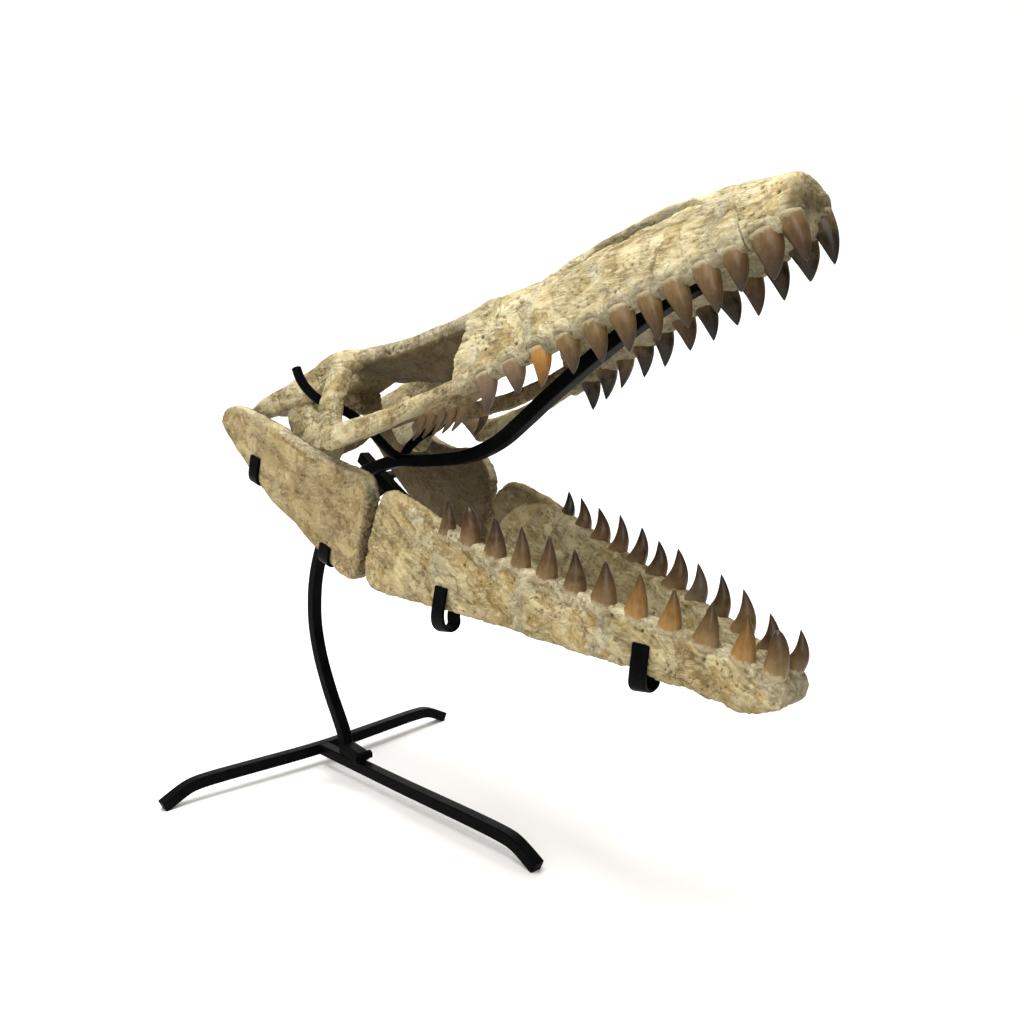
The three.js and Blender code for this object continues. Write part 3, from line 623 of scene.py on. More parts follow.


# %% [markdown]
# The bones don't all look alike. The tip of the snout is painted palest, as painted light from above,
# the roof is browner, and the braincase and the pterygoids, deep inside, get a darker copy of the
# colours as painted shade. The rear plates are tan. Each kind has four colours of its own.

# %% Fossil bone materials
def bone_material(name, degrees, colours, slant=0.0, shade_below=0.6):
    """Weathered fossil bone; degrees is the tilt of the bone, slant that of its fibres, and the last
    number the share of painted shade on faces that look down.
    """
    material, tree, add, shader = new_material(name)
    seen = bone_patterns(add, degrees + slant)
    colour = bone_colour(add, seen, *colours, shade_below)
    rough = ramp(add, seen["blotch"], [(0.35, 0.62), (0.65, 0.85)])
    surface(tree, add, shader, colour, rough, bone_relief(add, seen), 1.0, 0.0021)
    shader.inputs["Specular IOR Level"].default_value = 0.3
    return material


# The colours of each kind of bone, from light to dark: pale, middle, ochre and brown.
BROWN = (0.12, 0.078, 0.027)
SKULL_COLOURS = ((0.70, 0.635, 0.41), (0.47, 0.385, 0.20), (0.37, 0.275, 0.105), BROWN)
# The tip's colours are paler than the skull's: painted light from above on the snout.
LIT_TIP_COLOURS = ((0.82, 0.75, 0.50), (0.62, 0.54, 0.30), (0.50, 0.39, 0.17), BROWN)
ROOF_COLOURS = ((0.54, 0.46, 0.28), (0.32, 0.24, 0.105), (0.25, 0.165, 0.055), (0.10, 0.06, 0.018))
JAW_COLOURS = ((0.68, 0.59, 0.35), (0.40, 0.31, 0.135), (0.36, 0.245, 0.080), BROWN)
PLATE_COLOURS = ((0.54, 0.45, 0.25), (0.37, 0.285, 0.13), (0.31, 0.21, 0.078), (0.15, 0.098, 0.038))
# A darker copy of the skull's colours for bones deep inside: painted shade.
SHADED_INNER_COLOURS = ((0.34, 0.265, 0.14), (0.21, 0.15, 0.066), (0.16, 0.105, 0.038), (0.06, 0.038, 0.015))
skull_bone = bone_material("skull_bone", SKULL_PITCH, SKULL_COLOURS)
lit_tip_bone = bone_material("lit_tip_bone", SKULL_PITCH, LIT_TIP_COLOURS)
# Faces that look down get painted shade: on the roof fully, on the other bones a share.
roof_bone = bone_material("roof_bone", SKULL_PITCH, ROOF_COLOURS, shade_below=1.0)
jaw_bone = bone_material("jaw_bone", JAW_PITCH, JAW_COLOURS, slant=-18)
plate_bone = bone_material("plate_bone", JAW_PITCH, PLATE_COLOURS, slant=-8)
shaded_inner_bone = bone_material("shaded_inner_bone", SKULL_PITCH, SHADED_INNER_COLOURS)
print("kinds of bone:", len(bpy.data.materials))

# %% [markdown]
# Tooth enamel turns glossy brown in the ground. Fine streaks run from gum to tip, the tip is
# darker, and the gum end is dull and pale where dentine shows. Every tooth has its own tint, kept
# in a colour attribute, and its height from gum to tip, kept in another.

# %% Enamel material
BARE_DENTINE, GUM_DIRT, SPECKLE = (0.33, 0.225, 0.105), (0.40, 0.35, 0.22), (0.5, 0.45, 0.36)


def enamel_material(name, degrees):
    """Glossy brown enamel for teeth that stand square to a jaw tilted by so many degrees."""
    material, tree, add, shader = new_material(name)
    where = add("ShaderNodeTexCoord").outputs["Object"]
    turn = (0, math.radians(degrees), 0)
    streaks = add("ShaderNodeMapping", {"Vector": where, "Rotation": turn, "Scale": (420, 420, 28)})
    tint = add("ShaderNodeAttribute", attribute_name="tint").outputs["Color"]
    seen = {
        "line": noise_on(add, streaks.outputs[0], 1, 4, 0.6),
        "cloud": noise_on(add, where, 110, 5, 0.6, 0.5),
        "speck": noise_on(add, where, 800, 3, 0.7),
        "rise": add("ShaderNodeAttribute", attribute_name="rise").outputs["Fac"],
    }
    dark = blend(add, 1.0, tint, (0.42, 0.38, 0.36), "MULTIPLY")
    deep = blend(add, 1.0, tint, (0.20, 0.18, 0.18), "MULTIPLY")
    pale = blend(add, 0.5, tint, BARE_DENTINE)
    body = blend(add, ramp(add, seen["line"], [(0.40, 0.5), (0.54, 0.0)]), tint, dark)
    body = blend(add, ramp(add, seen["cloud"], [(0.44, 0.0), (0.68, 0.55)]), body, pale)
    body = blend(add, ramp(add, seen["rise"], [(0.20, 0.0), (0.70, 0.8)]), body, dark)
    body = blend(add, ramp(add, seen["rise"], [(0.62, 0.0), (0.95, 0.85)]), body, deep)
    body = blend(add, ramp(add, seen["rise"], [(0.0, 0.6), (0.42, 0.0)]), body, pale)
    # Dirt clings to the lowest part of a crown, with a crumbly upper edge.
    crumbs = noise_on(add, where, 320, 4, 0.7)
    low = combine(add, seen["rise"], combine(add, crumbs, 0.30), "SUBTRACT")
    gum = ramp(add, combine(add, low, 0.14, "ADD"), [(0.0, 1.0), (0.09, 0.0)])
    body = blend(add, combine(add, gum, 0.75), body, GUM_DIRT)
    body = blend(add, ramp(add, seen["speck"], [(0.66, 0.0), (0.76, 0.3)]), body, SPECKLE)
    dull = blend(add, gum, ramp(add, seen["cloud"], [(0.3, 0.28), (0.75, 0.5)]), (0.7, 0.7, 0.7))
    height = combine(add, seen["line"], combine(add, seen["cloud"], 0.6), "ADD")
    surface(tree, add, shader, body, dull, combine(add, height, gum, "ADD"), 0.5, 0.0005)
    shader.inputs["Specular IOR Level"].default_value = 0.24
    shader.inputs["Coat Weight"].default_value = 0.05
    shader.inputs["Coat Roughness"].default_value = 0.12
    return material


upper_enamel = enamel_material("upper_enamel", SKULL_PITCH)
lower_enamel = enamel_material("lower_enamel", JAW_PITCH)
print("enamels:", upper_enamel.name, lower_enamel.name)

# %% [markdown]
# The stand is mild steel under satin black paint, brushed on, a little rough, rubbed thin and
# greyer here and there. One slow noise gives both the rubbed places and their dullness.

# %% Stand paint
BLACK, RUBBED = (0.0012, 0.0014, 0.0016), (0.004, 0.0044, 0.0048)
stand_paint, tree, add, shader = new_material("stand_paint")
where = add("ShaderNodeTexCoord").outputs["Object"]
rub, dust = noise_on(add, where, 60, 6, 0.7), noise_on(add, where, 900, 2, 0.5)
colour = ramp(add, rub, [(0.40, BLACK), (0.75, RUBBED)])
rough = ramp(add, rub, [(0.3, 0.30), (0.7, 0.5)])
surface(tree, add, shader, colour, rough, combine(add, rub, combine(add, dust, 0.4), "ADD"), 0.3, 0.0006)
shader.inputs["Specular IOR Level"].default_value = 0.02
print("stand finish:", stand_paint.name)

# %% [markdown]
# ## Teeth
# A mosasaur tooth is a stout cone that leans back, thick at the gum, with a convex front edge. A
# lathe would make it straight, so it is lofted along a bent axis. The teeth of each bone are joined
# into one piece. Real rows are never even: tips, heights and tints differ from tooth to tooth.

# %% Tooth tables
UMBER, AMBER, MAUVE = (0.068, 0.037, 0.014), (0.40, 0.18, 0.026), (0.16, 0.108, 0.068)
RUST, SLATE, OLIVE = (0.105, 0.052, 0.021), (0.11, 0.092, 0.062), (0.135, 0.082, 0.030)
# The last of these, nearly black, is painted shade for teeth of the far rows.
SEPIA, HONEY, SHADE_BROWN = (0.105, 0.060, 0.023), (0.24, 0.125, 0.030), (0.022, 0.013, 0.006)
# Each tooth has a place along the row, a distance from the midline and a width; on each side also
# a tip, a height and a tint. "gum" is where crowns start, "bone" where the row lies in the solid,
# and "lift" names crowns that start further up. "edges" says how the front and the rear edge of a
# crown curve, as a bend and then a roundness at the tip. "bow" is how far its middle lies ahead of
# a straight line. All lengths are millimetres.
UPPER = {
    "places": (224, 250, 276, 300, 324, 348, 371, 392, 416, 438, 462, 480),
    "out": (59.5, 53.5, 48.3, 43.5, 39.2, 35.1, 31.9, 28.8, 25.6, 22.9, 20.4, 18.2),
    "wide": (18, 19, 17, 18, 18, 18.5, 16.5, 18.5, 18, 17, 20.5, 17),
    "tips_right": (214, 247, 268, 298, 323, 346, 370, 394, 417, 436, 459, 482.3),
    "tips_left": (219, 241, 264, 293, 318, 347, 371, 395, 415, 438, 461, 481),
    "high_right": (28, 25, 28, 29, 30.5, 32, 34, 34.5, 34.5, 28.5, 31, 29.5),
    "high_left": (28, 27, 26, 28, 29.5, 28.5, 31, 30, 32, 31.5, 29, 27),
    "tint_right": (MAUVE, MAUVE, AMBER, *[OLIVE] * 6, SEPIA, SEPIA, SEPIA),
    # The far row lies in shade, so its tints are painted darker: painted shade.
    "tint_left": (*(SHADE_BROWN, SHADE_BROWN, UMBER) * 3, SHADE_BROWN, SHADE_BROWN, SHADE_BROWN),
    "blunt": {},
    "gum": 3.0,
    "bone": 3.4,
    "edges": {"right": ((2.4, 0.76), (1.4, 0.86)), "left": ((2.3, 0.8), (1.3, 0.92))},
    "stout": 1.0,
    "lift": {"left": {11: 9}, "right": {11: 3}},
    "bow": {"right": 1.0, "left": 1.5},
    "up": -1,
}
LOWER = {
    "places": (176, 201.5, 227.5, 253, 277, 303, 327, 353, 379, 406, 433, 457),
    "out": (69, 65.5, 61.2, 56.7, 51.9, 47, 41, 34.5, 27.8, 20.8, 13.6, 9.4),
    "wide": (15.5, 17, 19, 16.5, 17.5, 18, 20, 17.5, 17, 18.5, 16.5, 15.5),
    "tips_right": (171, 193, 220, 246, 272, 295, 321, 349, 376, 404, 428, 451),
    "tips_left": (175, 194, 220, 248, 277, 300, 324, 349, 375, 400, 429, 456),
    "high_right": (27, 28.5, 28.5, 29.5, 31, 28.5, 29, 30, 28, 29, 30, 27.5),
    "high_left": (25.5, 26, 26, 30, 29.5, 27, 30, 28.5, 31, 30.5, 25.5, 26),
    "tint_right": (UMBER, RUST, UMBER, SEPIA, SEPIA, UMBER, SEPIA, HONEY, HONEY, OLIVE, HONEY, OLIVE),
    # The darkest tint of this far row is painted shade.
    "tint_left": (SHADE_BROWN, SEPIA, SEPIA, SEPIA, UMBER, UMBER, SEPIA, SLATE, UMBER, OLIVE, UMBER, UMBER),
    "blunt": {"right": (1, 11), "left": ()},
    "gum": -0.8,
    "bone": 1.5,
    "edges": {"right": ((1.9, 0.9), (1.2, 1.05)), "left": ((2.4, 0.85), (1.0, 1.25)),
              "blunt": ((3.2, 0.6), (2.3, 0.65))},
    "stout": 1.02,
    "lift": {},
    "bow": {"right": 0.6, "left": 3.0},
    "up": 1,
}
ROOT = 0.14  # share of a crown that is hidden in its socket
print("teeth in each row:", len(UPPER["places"]), "above and", len(LOWER["places"]), "below")

# %% [markdown]
# A crown is a stack of rings whose front edge bulges and whose rear edge is straighter. Shallow
# flutes run down it, as on real teeth, and each tooth has them turned by a different amount.

# %% Crowns
random.seed(7)
CORNERS, SQUAT = 24, 0.43  # corners of a ring; half depth of a tooth as a share of its width
CROWN_SHARES = [-ROOT, -0.08, -0.03, *spread(0, 1, 20)]  # heights of the rings, 0 at the gum


def crown(bm, place, row, name, i, tints, rises):
    """Adds tooth i of a row, and notes its tint and the height of each of its vertices."""
    side = -1 if name == "right" else 1
    base, out, up = row["places"][i], row["out"][i] + 1.0, row["up"]
    wide, lean_of_tip = row["wide"][i] * row["stout"], row["tips_" + name][i] - base
    gum = row["gum"] + row["lift"].get(name, {}).get(i, 0)
    high = row["high_" + name][i] + up * (row["bone"] - gum)
    edges = "blunt" if i in row["blunt"].get(name, ()) else name
    (fore_bend, fore_round), (rear_bend, rear_round) = row["edges"][edges]
    lobes = random.uniform(0, 6)
    rings = []
    for t in CROWN_SHARES:
        s = max(t, 0)
        fore, rear = (1 - s ** fore_bend) ** fore_round, (1 - s ** rear_bend) ** rear_round
        # The foot is flared, but it narrows again inside the socket.
        foot = 1 + 0.08 * math.exp(-s / 0.2) + 2.6 * min(t, 0)
        v = gum + up * high * t
        lean = lean_of_tip * (0.45 * s + 0.55 * s * s) + row["bow"][name] * math.sin(math.pi * s)
        ring = []
        for k in range(CORNERS):
            a = 2 * math.pi * k / CORNERS
            flute = 1 + 0.02 * math.sin(7 * a + lobes) + 0.014 * math.sin(12 * a - lobes)
            ahead = (1 + math.sin(a)) / 2
            share = (rear + (fore - rear) * ahead) * flute * foot + (0.05 if s < 1 else 0.06)
            along = math.sin(a) * wide / 2 * share
            across = math.cos(a) * wide * SQUAT * (0.5 * (fore + rear) * flute * foot + 0.05)
            ring.append(place(base + lean + along, side * out + across, v))
        rings.append(ring)
    loft(bm, rings)
    for t in CROWN_SHARES:
        tints += [row["tint_" + name][i]] * CORNERS
        rises += [max(0.0, t)] * CORNERS


def keep_on_vertices(piece, tints, rises):
    """Leaves each vertex its tint and its height from gum to tip, for the enamel to read."""
    tint = piece.data.attributes.new("tint", "FLOAT_COLOR", "POINT")
    tint.data.foreach_set("color", [c for colour in tints for c in (*colour, 1.0)])
    rise = piece.data.attributes.new("rise", "FLOAT", "POINT")
    rise.data.foreach_set("value", rises)


def tooth_row(label, place, row, name, teeth, material):
    """One piece for the teeth of one bone."""
    bm, tints, rises = bmesh.new(), [], []
    for i in teeth:
        crown(bm, place, row, name, i, tints, rises)
    piece = finish(label, bm, material, (), "tooth_enamel")
    keep_on_vertices(piece, tints, rises)


for name, side in SIDES:
    tooth_row("teeth_lower_" + name, jaw, LOWER, name, range(12), lower_enamel)
    tooth_row("teeth_maxilla_" + name, skull, UPPER, name, range(10), upper_enamel)
    tooth_row("teeth_premaxilla_" + name, skull, UPPER, name, range(10, 12), upper_enamel)

# %% [markdown]
# ## Lower jaws
# Every bone below is made the same way: its lofts are melted into one skin, the skin is weathered,
# and the piece is finished. Round each tooth the socket stands up as a low collar, crumbly with
# filler. The collars are short cones that the even skin melts into the bone.

# %% Bones and socket collars
def make_bone(label, lofts, place, material, node, slot="fossil_bone", voxel=VOXEL, **weathering):
    """One bone over the solid of one node. Each of its lofts is a list of rings."""
    bm = bmesh.new()
    for rings in lofts:
        loft(bm, rings)
    bm = even_skin(bm, voxel)
    weather(bm, place, **weathering)
    finish(label, bm, material, [node], slot)


# Depth below the tooth row, and size as a share of the tooth, for each ring of a collar.
COLLAR = ((-9, 1.05), (-3, 1.12), (-2.9, 1.10), (-1.4, 1.0))
COLLAR_GROWTH, COLLAR_DEPTH, CRUMBLE = 1.1, 0.44, 0.6


def collars(place, row, side, teeth):
    """The lofts of a low crumbly collar round each tooth."""
    lofts = []
    for i in teeth:
        base, out, wide = row["places"][i], row["out"][i] * side, row["wide"][i] * COLLAR_GROWTH
        rings = []
        for depth, share in COLLAR:
            v = row["bone"] + row["up"] * depth
            rings.append([
                place(base + math.sin(a) * wide / 2 * share,
                      out + math.cos(a) * wide * COLLAR_DEPTH * share,
                      v + random.uniform(-CRUMBLE, CRUMBLE))
                for a in spread(0, 2 * math.pi * 15 / 16, 16)
            ])
        lofts.append(rings)
    return lofts


print("a collar rises", COLLAR[-1][0] - COLLAR[0][0], "mm")

# %% [markdown]
# The front half of each lower jaw is the dentary, one long bone with the teeth. Its outline is a
# plate read from two tables. Its left one ends in a block of filler, and shows its hollow inside.

# %% Dentaries
# Outer wall and thickness of a lower jaw, by place along it.
JAW_WALL = [
    (80, 75.0, 13), (88, 75.5, 14), (130, 76.5, 14.5), (178, 76, 15), (204, 73, 15.5), (231, 69, 16),
    (257, 64.5, 16), (281, 60, 16), (305, 54.5, 16), (331, 49, 16), (357, 42, 16), (382, 35.5, 15.5),
    (407, 28.5, 15.5), (433, 22, 15.5), (460, 17, 15), (472, 15, 13),
]
# Top and bottom of a dentary, by place along it.
DENTARY = [
    (79.3, -30, -70), (81, -16, -81), (84, -6, -86), (90, 5, -87), (98, 10.5, -86), (106, 13, -84),
    (121, 14, -80), (146, 12, -74.5), (172, 8.5, -67), (192, 5.5, -62), (204, 4, -60),
    (234, 2.5, -54.5), (262, 2.5, -51.3), (288, 2.5, -48.6), (312, 2.5, -44.7), (336, 2.5, -41.8),
    (358, 3, -38.7), (391, 3.5, -37.2), (406, 3.5, -35.5), (425, 3.5, -36), (442, 3.5, -36),
    (455, 2.5, -31.5), (461, 1, -27), (467, -2, -23), (471, -7, -17),
]


def wall_rows(outline, side):
    """Rows of a plate whose outer face is the wall of the jaw."""
    rows = []
    for u, top, bottom in outline:
        outer, thick = reading(JAW_WALL, u)
        rows.append((u, side * (outer - thick / 2), top, bottom, thick))
    return rows


# The lip of the bone at the front: filler lies above it, raised old bone below it.
LIP = [(392, -3), (400, -3), (420, -4), (437, -6), (449, -10), (458, -15), (466, -20), (472, -22)]
NERVE_HOLES = ((365, -7), (341, -4), (412, -9), (206, -16))


def dentary_marks(u, y, v):
    """Filler between the sockets and in the breaks, holes for nerves, and the raised front lip."""
    outside = abs(y) > reading(JAW_WALL, u)[0] - 9
    hu, hv = u, v
    u, v = ragged(u, v)
    gums = 0.62 * fade(v, -8, 0) * fade(u, 160, 185)
    broken = 0.6 * seam(u, v, [(267, 2), (263, -22), (266, -50)], 12)
    broken = max(broken, 0.55 * seam(u, v, [(334, 0), (337, -20), (334, -44)], 8))
    patch = 0.8 * dab(u, v, (138, 2), (16, 8)) + 0.6 * dab(u, v, (178, -30), (16, 14))
    patch += 0.6 * dab(u, v, (230, -6), (20, 8)) + 0.5 * dab(u, v, (308, -6), (18, 7))
    filler, depth = max(gums, broken, patch), 0.0
    if u > LIP[0][0]:
        above = fade(v - reading(LIP, u)[0], -1.5, 1.5) * fade(u, 392, 402)
        filler = max(0.5 * patch, 0.85 * above)
        depth = 2.3 * above * outside
    step = seam(u, v, [(205, 0), (214, -20), (236, -34), (262, -46)], 4) * outside
    hole = nerve_hole(hu, hv, NERVE_HOLES) * outside
    return depth + 1.6 * hole + 0.5 * step, max(hole, 0.12 * step), filler


def inner_recess(u, y, v):
    """The hollow at the rear of the inside, bounded by a curved ledge."""
    ledge = [(106, -45), (108, -38), (115, -25), (126, -12), (145, -1), (173, 9)]
    if u > 172 or abs(y) > reading(JAW_WALL, u)[0] - 7:
        return 0.0
    edge = reading(ledge, u)[0] if u > 106 else -60
    return 4.2 * fade(v - edge, 0, 4) * fade(u, 173, 165)


def jaw_marks(u, y, v):
    """The marks of the outer face, and the hollow of the inner one, with painted shade in the hollow."""
    depth, stain_and_shade, filler = dentary_marks(u, y, v)
    hollow = inner_recess(u, y, v)
    # Painted shade in the hollow, a share of its depth.
    return depth + hollow, max(stain_and_shade, 0.15 * hollow), filler * (hollow < 1)


def far_jaw_marks(u, y, v):
    """The left dentary ends in a block of grey filler that holds its last tooth."""
    depth, stain_and_shade, filler = jaw_marks(u + 9, y, v)
    inside = y < reading(JAW_WALL, u)[0] - 8
    smooth = 0.15 * inside * fade(v, 4, -6) * (u > 118)
    block = 1.7 * fade(u, 446, 450)
    return depth if u < 380 else 0.0, max(stain_and_shade, 0.2 * block), max(block, 0.4 * filler, smooth)


for name, side in SIDES:
    plate = plate_rings(jaw, wall_rows(DENTARY, side), steps=130, count=44, soft=0.27)
    make_bone("dentary_bone_" + name, [plate, *collars(jaw, LOWER, side, range(12))], jaw, jaw_bone,
              "dentary_" + name, slant=-20, fibres=0.8, grain=0.26, seed=11 * side,
              marks=jaw_marks if side < 0 else far_jaw_marks)

# %% [markdown]
# Behind each dentary is a plate of several fused bones, smooth and flat, that rises to the jaw
# joint. Its front end is a rough break.

# %% Rear plates
PLATE = [
    (-180.8, 89.5, -1, -4, 7), (-177, 89, 7, -8, 9), (-168, 88.5, 14, -14, 11), (-158, 88, 18, -18, 12),
    (-128, 87, 21, -31, 13.5), (-96, 84.8, 20, -46, 15), (-57, 82, 16.5, -59, 15.5),
    (-24, 80, 13.5, -65.5, 16), (0, 78.5, 13, -73, 16), (31, 76, 13.5, -82, 16),
    (53, 74, 14, -87.5, 16), (62, 73, 12.5, -87.5, 16), (67, 72.6, 9, -86, 16), (71, 72.3, 4, -83, 15.5),
    (75, 72, -4, -78, 14),
]
CREST_AT, CREST_REACH, LEFT_CREST = 32, 42, 11  # the left plate has a higher crest


def plate_marks(u, y, v):
    """A rough broken front end with dirt, a pale upper edge, and painted shade on the inner face."""
    end = fade(u, 69, 73)
    crumble = 3.0 * end * abs(noise.noise(Vector((y / 4, v / 4, 1))))
    middle, top = reading(PLATE, u)[:2]
    inner = fade(middle - abs(y), 2, 6)
    edge = fade(v, top - 7, top - 1) * (1 - inner)
    crumble += 1.5 * edge * abs(noise.noise(Vector((u / 6, y / 4, v / 4))))
    dirt = 0.5 * end + 0.3 * end * fade(crumble, 0.3, 1.0)
    # The inner face gets painted shade; only the broken end gets dirt.
    return crumble, max(dirt, 0.85 * inner), 0.5 * edge


for name, side in SIDES:
    crest = LEFT_CREST if side > 0 else 0
    rows = [
        (u, side * y, top + crest * max(0.0, 1 - abs(u - CREST_AT) / CREST_REACH), bottom, thick)
        for u, y, top, bottom, thick in PLATE
    ]
    make_bone("rear_plate_" + name, [plate_rings(jaw, rows, steps=100, count=44, soft=0.18)], jaw,
              plate_bone, "jaw_plate_" + name, "plate_bone", swell=0.6, flakes=0.35, fibres=0.25,
              grain=0.2, pits=0.6, slant=-10, seed=5 * side, marks=plate_marks)

# %% [markdown]
# ## Skull roof
# The frontal roofs the skull between the eye sockets. Above it is nearly flat; below, a keel runs
# along its middle, so each ring has nine corners a side and the even skin rounds them.

# %% Frontal
# Half width, rim, crown and keel, by place along the roof.
ROOF = [
    (37, 57, 99, 104, 75), (45, 58, 97, 104, 71), (60, 57, 94, 100, 66), (90, 52, 86, 92, 54),
    (125, 50, 78, 84, 42), (160, 48, 72.5, 79, 34), (202, 45, 66, 75, 30), (230, 33, 66, 74, 34),
    (256, 14, 67, 73, 52),
]
RIM = 11  # height of the rim's edge


def halves(u, half, right):
    """A ring of the skull from the (share of half width, v) corners of its right half."""
    left = [(-share, v) for share, v in reversed(right)]
    return [skull(u, -share * half, v) for share, v in right + left]


def roof_ring(u):
    """The section of the roof at a place: keel, rim and crown."""
    half, rim, crest, keel = reading(ROOF, u)
    right = [(0.02, keel - 2), (0.25, keel), (0.6, (keel + rim - RIM) / 2 + 1), (0.97, rim - RIM),
             (1.0, rim - RIM / 2), (0.97, rim), (0.8, rim + 0.45 * (crest - rim)),
             (0.5, rim + 0.85 * (crest - rim)), (0.15, crest)]
    return halves(u, half, right)


def roof_marks(u, y, v):
    """A crusty rim, filled with grey towards the nose, and painted shade below the rim."""
    half, rim = reading(ROOF, u)[:2]
    edge = fade(abs(y), half - 5, half - 1) * fade(v, rim - RIM - 1, rim - RIM + 2)
    crust = 1.6 * edge * max(0.0, noise.noise(Vector((u / 5, y / 9, v / 4)))) * fade(u, 160, 120)
    # Painted shade on the face below the rim.
    shade_below = 0.6 * fade(v, rim - RIM + 1, rim - RIM - 3)
    return crust, max(0.8 * fade(crust, 0.35, 0.9), shade_below), edge * (0.45 + 0.4 * fade(u, 100, 150))


make_bone("roof_frontal", [[roof_ring(u) for u in spread(37, 256, 70)]], skull, roof_bone, "frontal",
          voxel=1.1, swell=1.0, flakes=0.4, seed=3, marks=roof_marks)

# %% [markdown]
# Behind the frontal the parietal is a narrow bar over the braincase. Two arms, the supratemporals,
# spread from its rear end to the corners of the skull.

# %% Parietal, supratemporals and braincase
PARIETAL = [
    (-70, 0, 98, 86, 30), (-60, 0, 101, 82, 42), (-34, 0, 102, 80, 36), (4, 0, 102, 80, 40),
    (20, 0, 102, 82, 60), (30, 0, 102.5, 84, 88), (36, 0, 103, 86, 96),
]
make_bone("roof_parietal", [plate_rings(skull, PARIETAL, steps=40, soft=0.6)], skull, roof_bone,
          "parietal", seed=21)

ARM = [[-52, 8, 92, 15, 15], [-60, 14, 92, 15, 16], [-76, 30, 94, 15, 16], [-94, 48, 95, 13, 15],
       [-103, 66, 95, 11, 13]]
skull_axis = (skull(1, 0, 0) - skull(0, 0, 0)).normalized()
for name, side in SIDES:
    make_bone("supratemporal_bone_" + name, [limb_rings(skull, mirrored(side, ARM), across=skull_axis)],
              skull, skull_bone, "supratemporal_" + name, seed=31 * side)

CASE = [(-54, 0, 88, 79, 20), (-44, 0, 88, 72, 31), (-26, 0, 88, 64, 35), (-14, 0, 88, 60, 33),
        (-9.5, 0, 86, 64, 24)]
# The braincase gets the darker copy of the colours, as painted shade.
make_bone("braincase_bone", [plate_rings(skull, CASE, steps=30, soft=0.7)], skull, shaded_inner_bone,
          "braincase", swell=1.4, grain=0.9, pits=1.4, seed=41)

# %% [markdown]
# ## Cheeks
# The postorbital, squamosal, quadrate and jugal frame the eye socket and the temple. They are
# bars of bone with a soft, slightly square section.

# %% Cheek bones
CHEEK = {
    "postorbital": [[62, 52, 86, 12, 16], [50, 56, 88, 18, 23], [30, 62, 88, 19, 28],
                    [12, 65, 86, 17, 29]],
    "squamosal": [[12, 65, 86, 16, 28], [-12, 67, 86, 16, 28], [-40, 69, 88, 16, 26],
                  [-72, 71, 92, 15, 22], [-98, 72, 94, 14, 18], [-112, 72, 94, 12, 14],
                  [-118, 72, 93, 8, 9]],
}


def cheek_bone(label, paths, node, seed, material=skull_bone, soft=0.6, **weathering):
    """A bone of one or more limbs melted together."""
    limbs = [limb_rings(skull, path, steps=40, count=28, soft=soft) for path in paths]
    calm = {"swell": 0.7, "flakes": 0.4, "fibres": 0.4, "pits": 0.5, "seed": seed}
    make_bone(label, limbs, skull, material, node, voxel=0.9, **{**calm, **weathering})


print("cheek tables:", *CHEEK)

# %% [markdown]
# The quadrate is the upright bone that the jaw hinges on; the left one is shorter. The jugal is the
# lower border of the eye socket, bent up at the rear; the left one lies further forward.

# %% Quadrates and jugals
def ring_marks(u, y, v):
    """Filler where the bars of the eye socket meet."""
    u, v = ragged(u, v, 3)
    return 0.0, 0.0, 0.6 * dab(u, v, (205, 8), (16, 9)) + 0.6 * dab(u, v, (38, 78), (12, 12))


QUADRATE_TOP = 80
QUADRATE_FOOT, JUGAL_SHIFT = {"right": 14, "left": 33}, {"right": 0, "left": 8}


def quadrate_path(foot):
    """Stations of a quadrate, from its top down to its foot."""
    high = QUADRATE_TOP - foot
    return [[-40, 65, QUADRATE_TOP, 18, 34], [-38, 63, 68, 20, 46], [-34, 61, foot + 0.55 * high, 20, 52],
            [-22, 60, foot + 0.28 * high, 22, 50], [-8, 60, foot + 4, 22, 42], [-6, 60, foot, 14, 32]]


def jugal_paths(shift):
    """Stations of the lower bar of a jugal and of its upright, whose rear is shifted forward."""
    lower = [[212, 63, 6, 10, 11], [197, 65.5, 5.5, 12, 11], [165, 71, 6, 13, 12],
             [140, 75, 7, 13, 13.5], [105, 80, 9, 14, 16], [70, 85.5, 13, 16, 19],
             [44 + shift, 88, 16.5, 18, 21], [33 + shift, 88, 18, 16, 20]]
    upper = [[40 + shift, 88, 14, 18, 20], [36 + 0.8 * shift, 85, 32, 18, 24],
             [35 + 0.4 * shift, 79, 50, 18, 23], [38, 70, 68, 18, 23], [43, 64, 82, 16, 22]]
    return lower, upper


for name, side in SIDES:
    for label, path in CHEEK.items():
        cheek_bone(f"{label}_bone_{name}", [mirrored(side, path)], f"{label}_{name}", side * len(label))
    path = mirrored(side, quadrate_path(QUADRATE_FOOT[name]))
    cheek_bone("quadrate_bone_" + name, [path], "quadrate_" + name, side * 17)
    paths = [mirrored(side, path) for path in jugal_paths(JUGAL_SHIFT[name])]
    cheek_bone("jugal_bone_" + name, paths, "jugal_" + name, side * 23, soft=0.5, swell=0.5,
               flakes=0.4, fibres=0.35, grain=0.22, marks=ring_marks)

# %% [markdown]
# The pterygoids are the toothed bars of the palate. Their teeth are small and hooked sharply back.

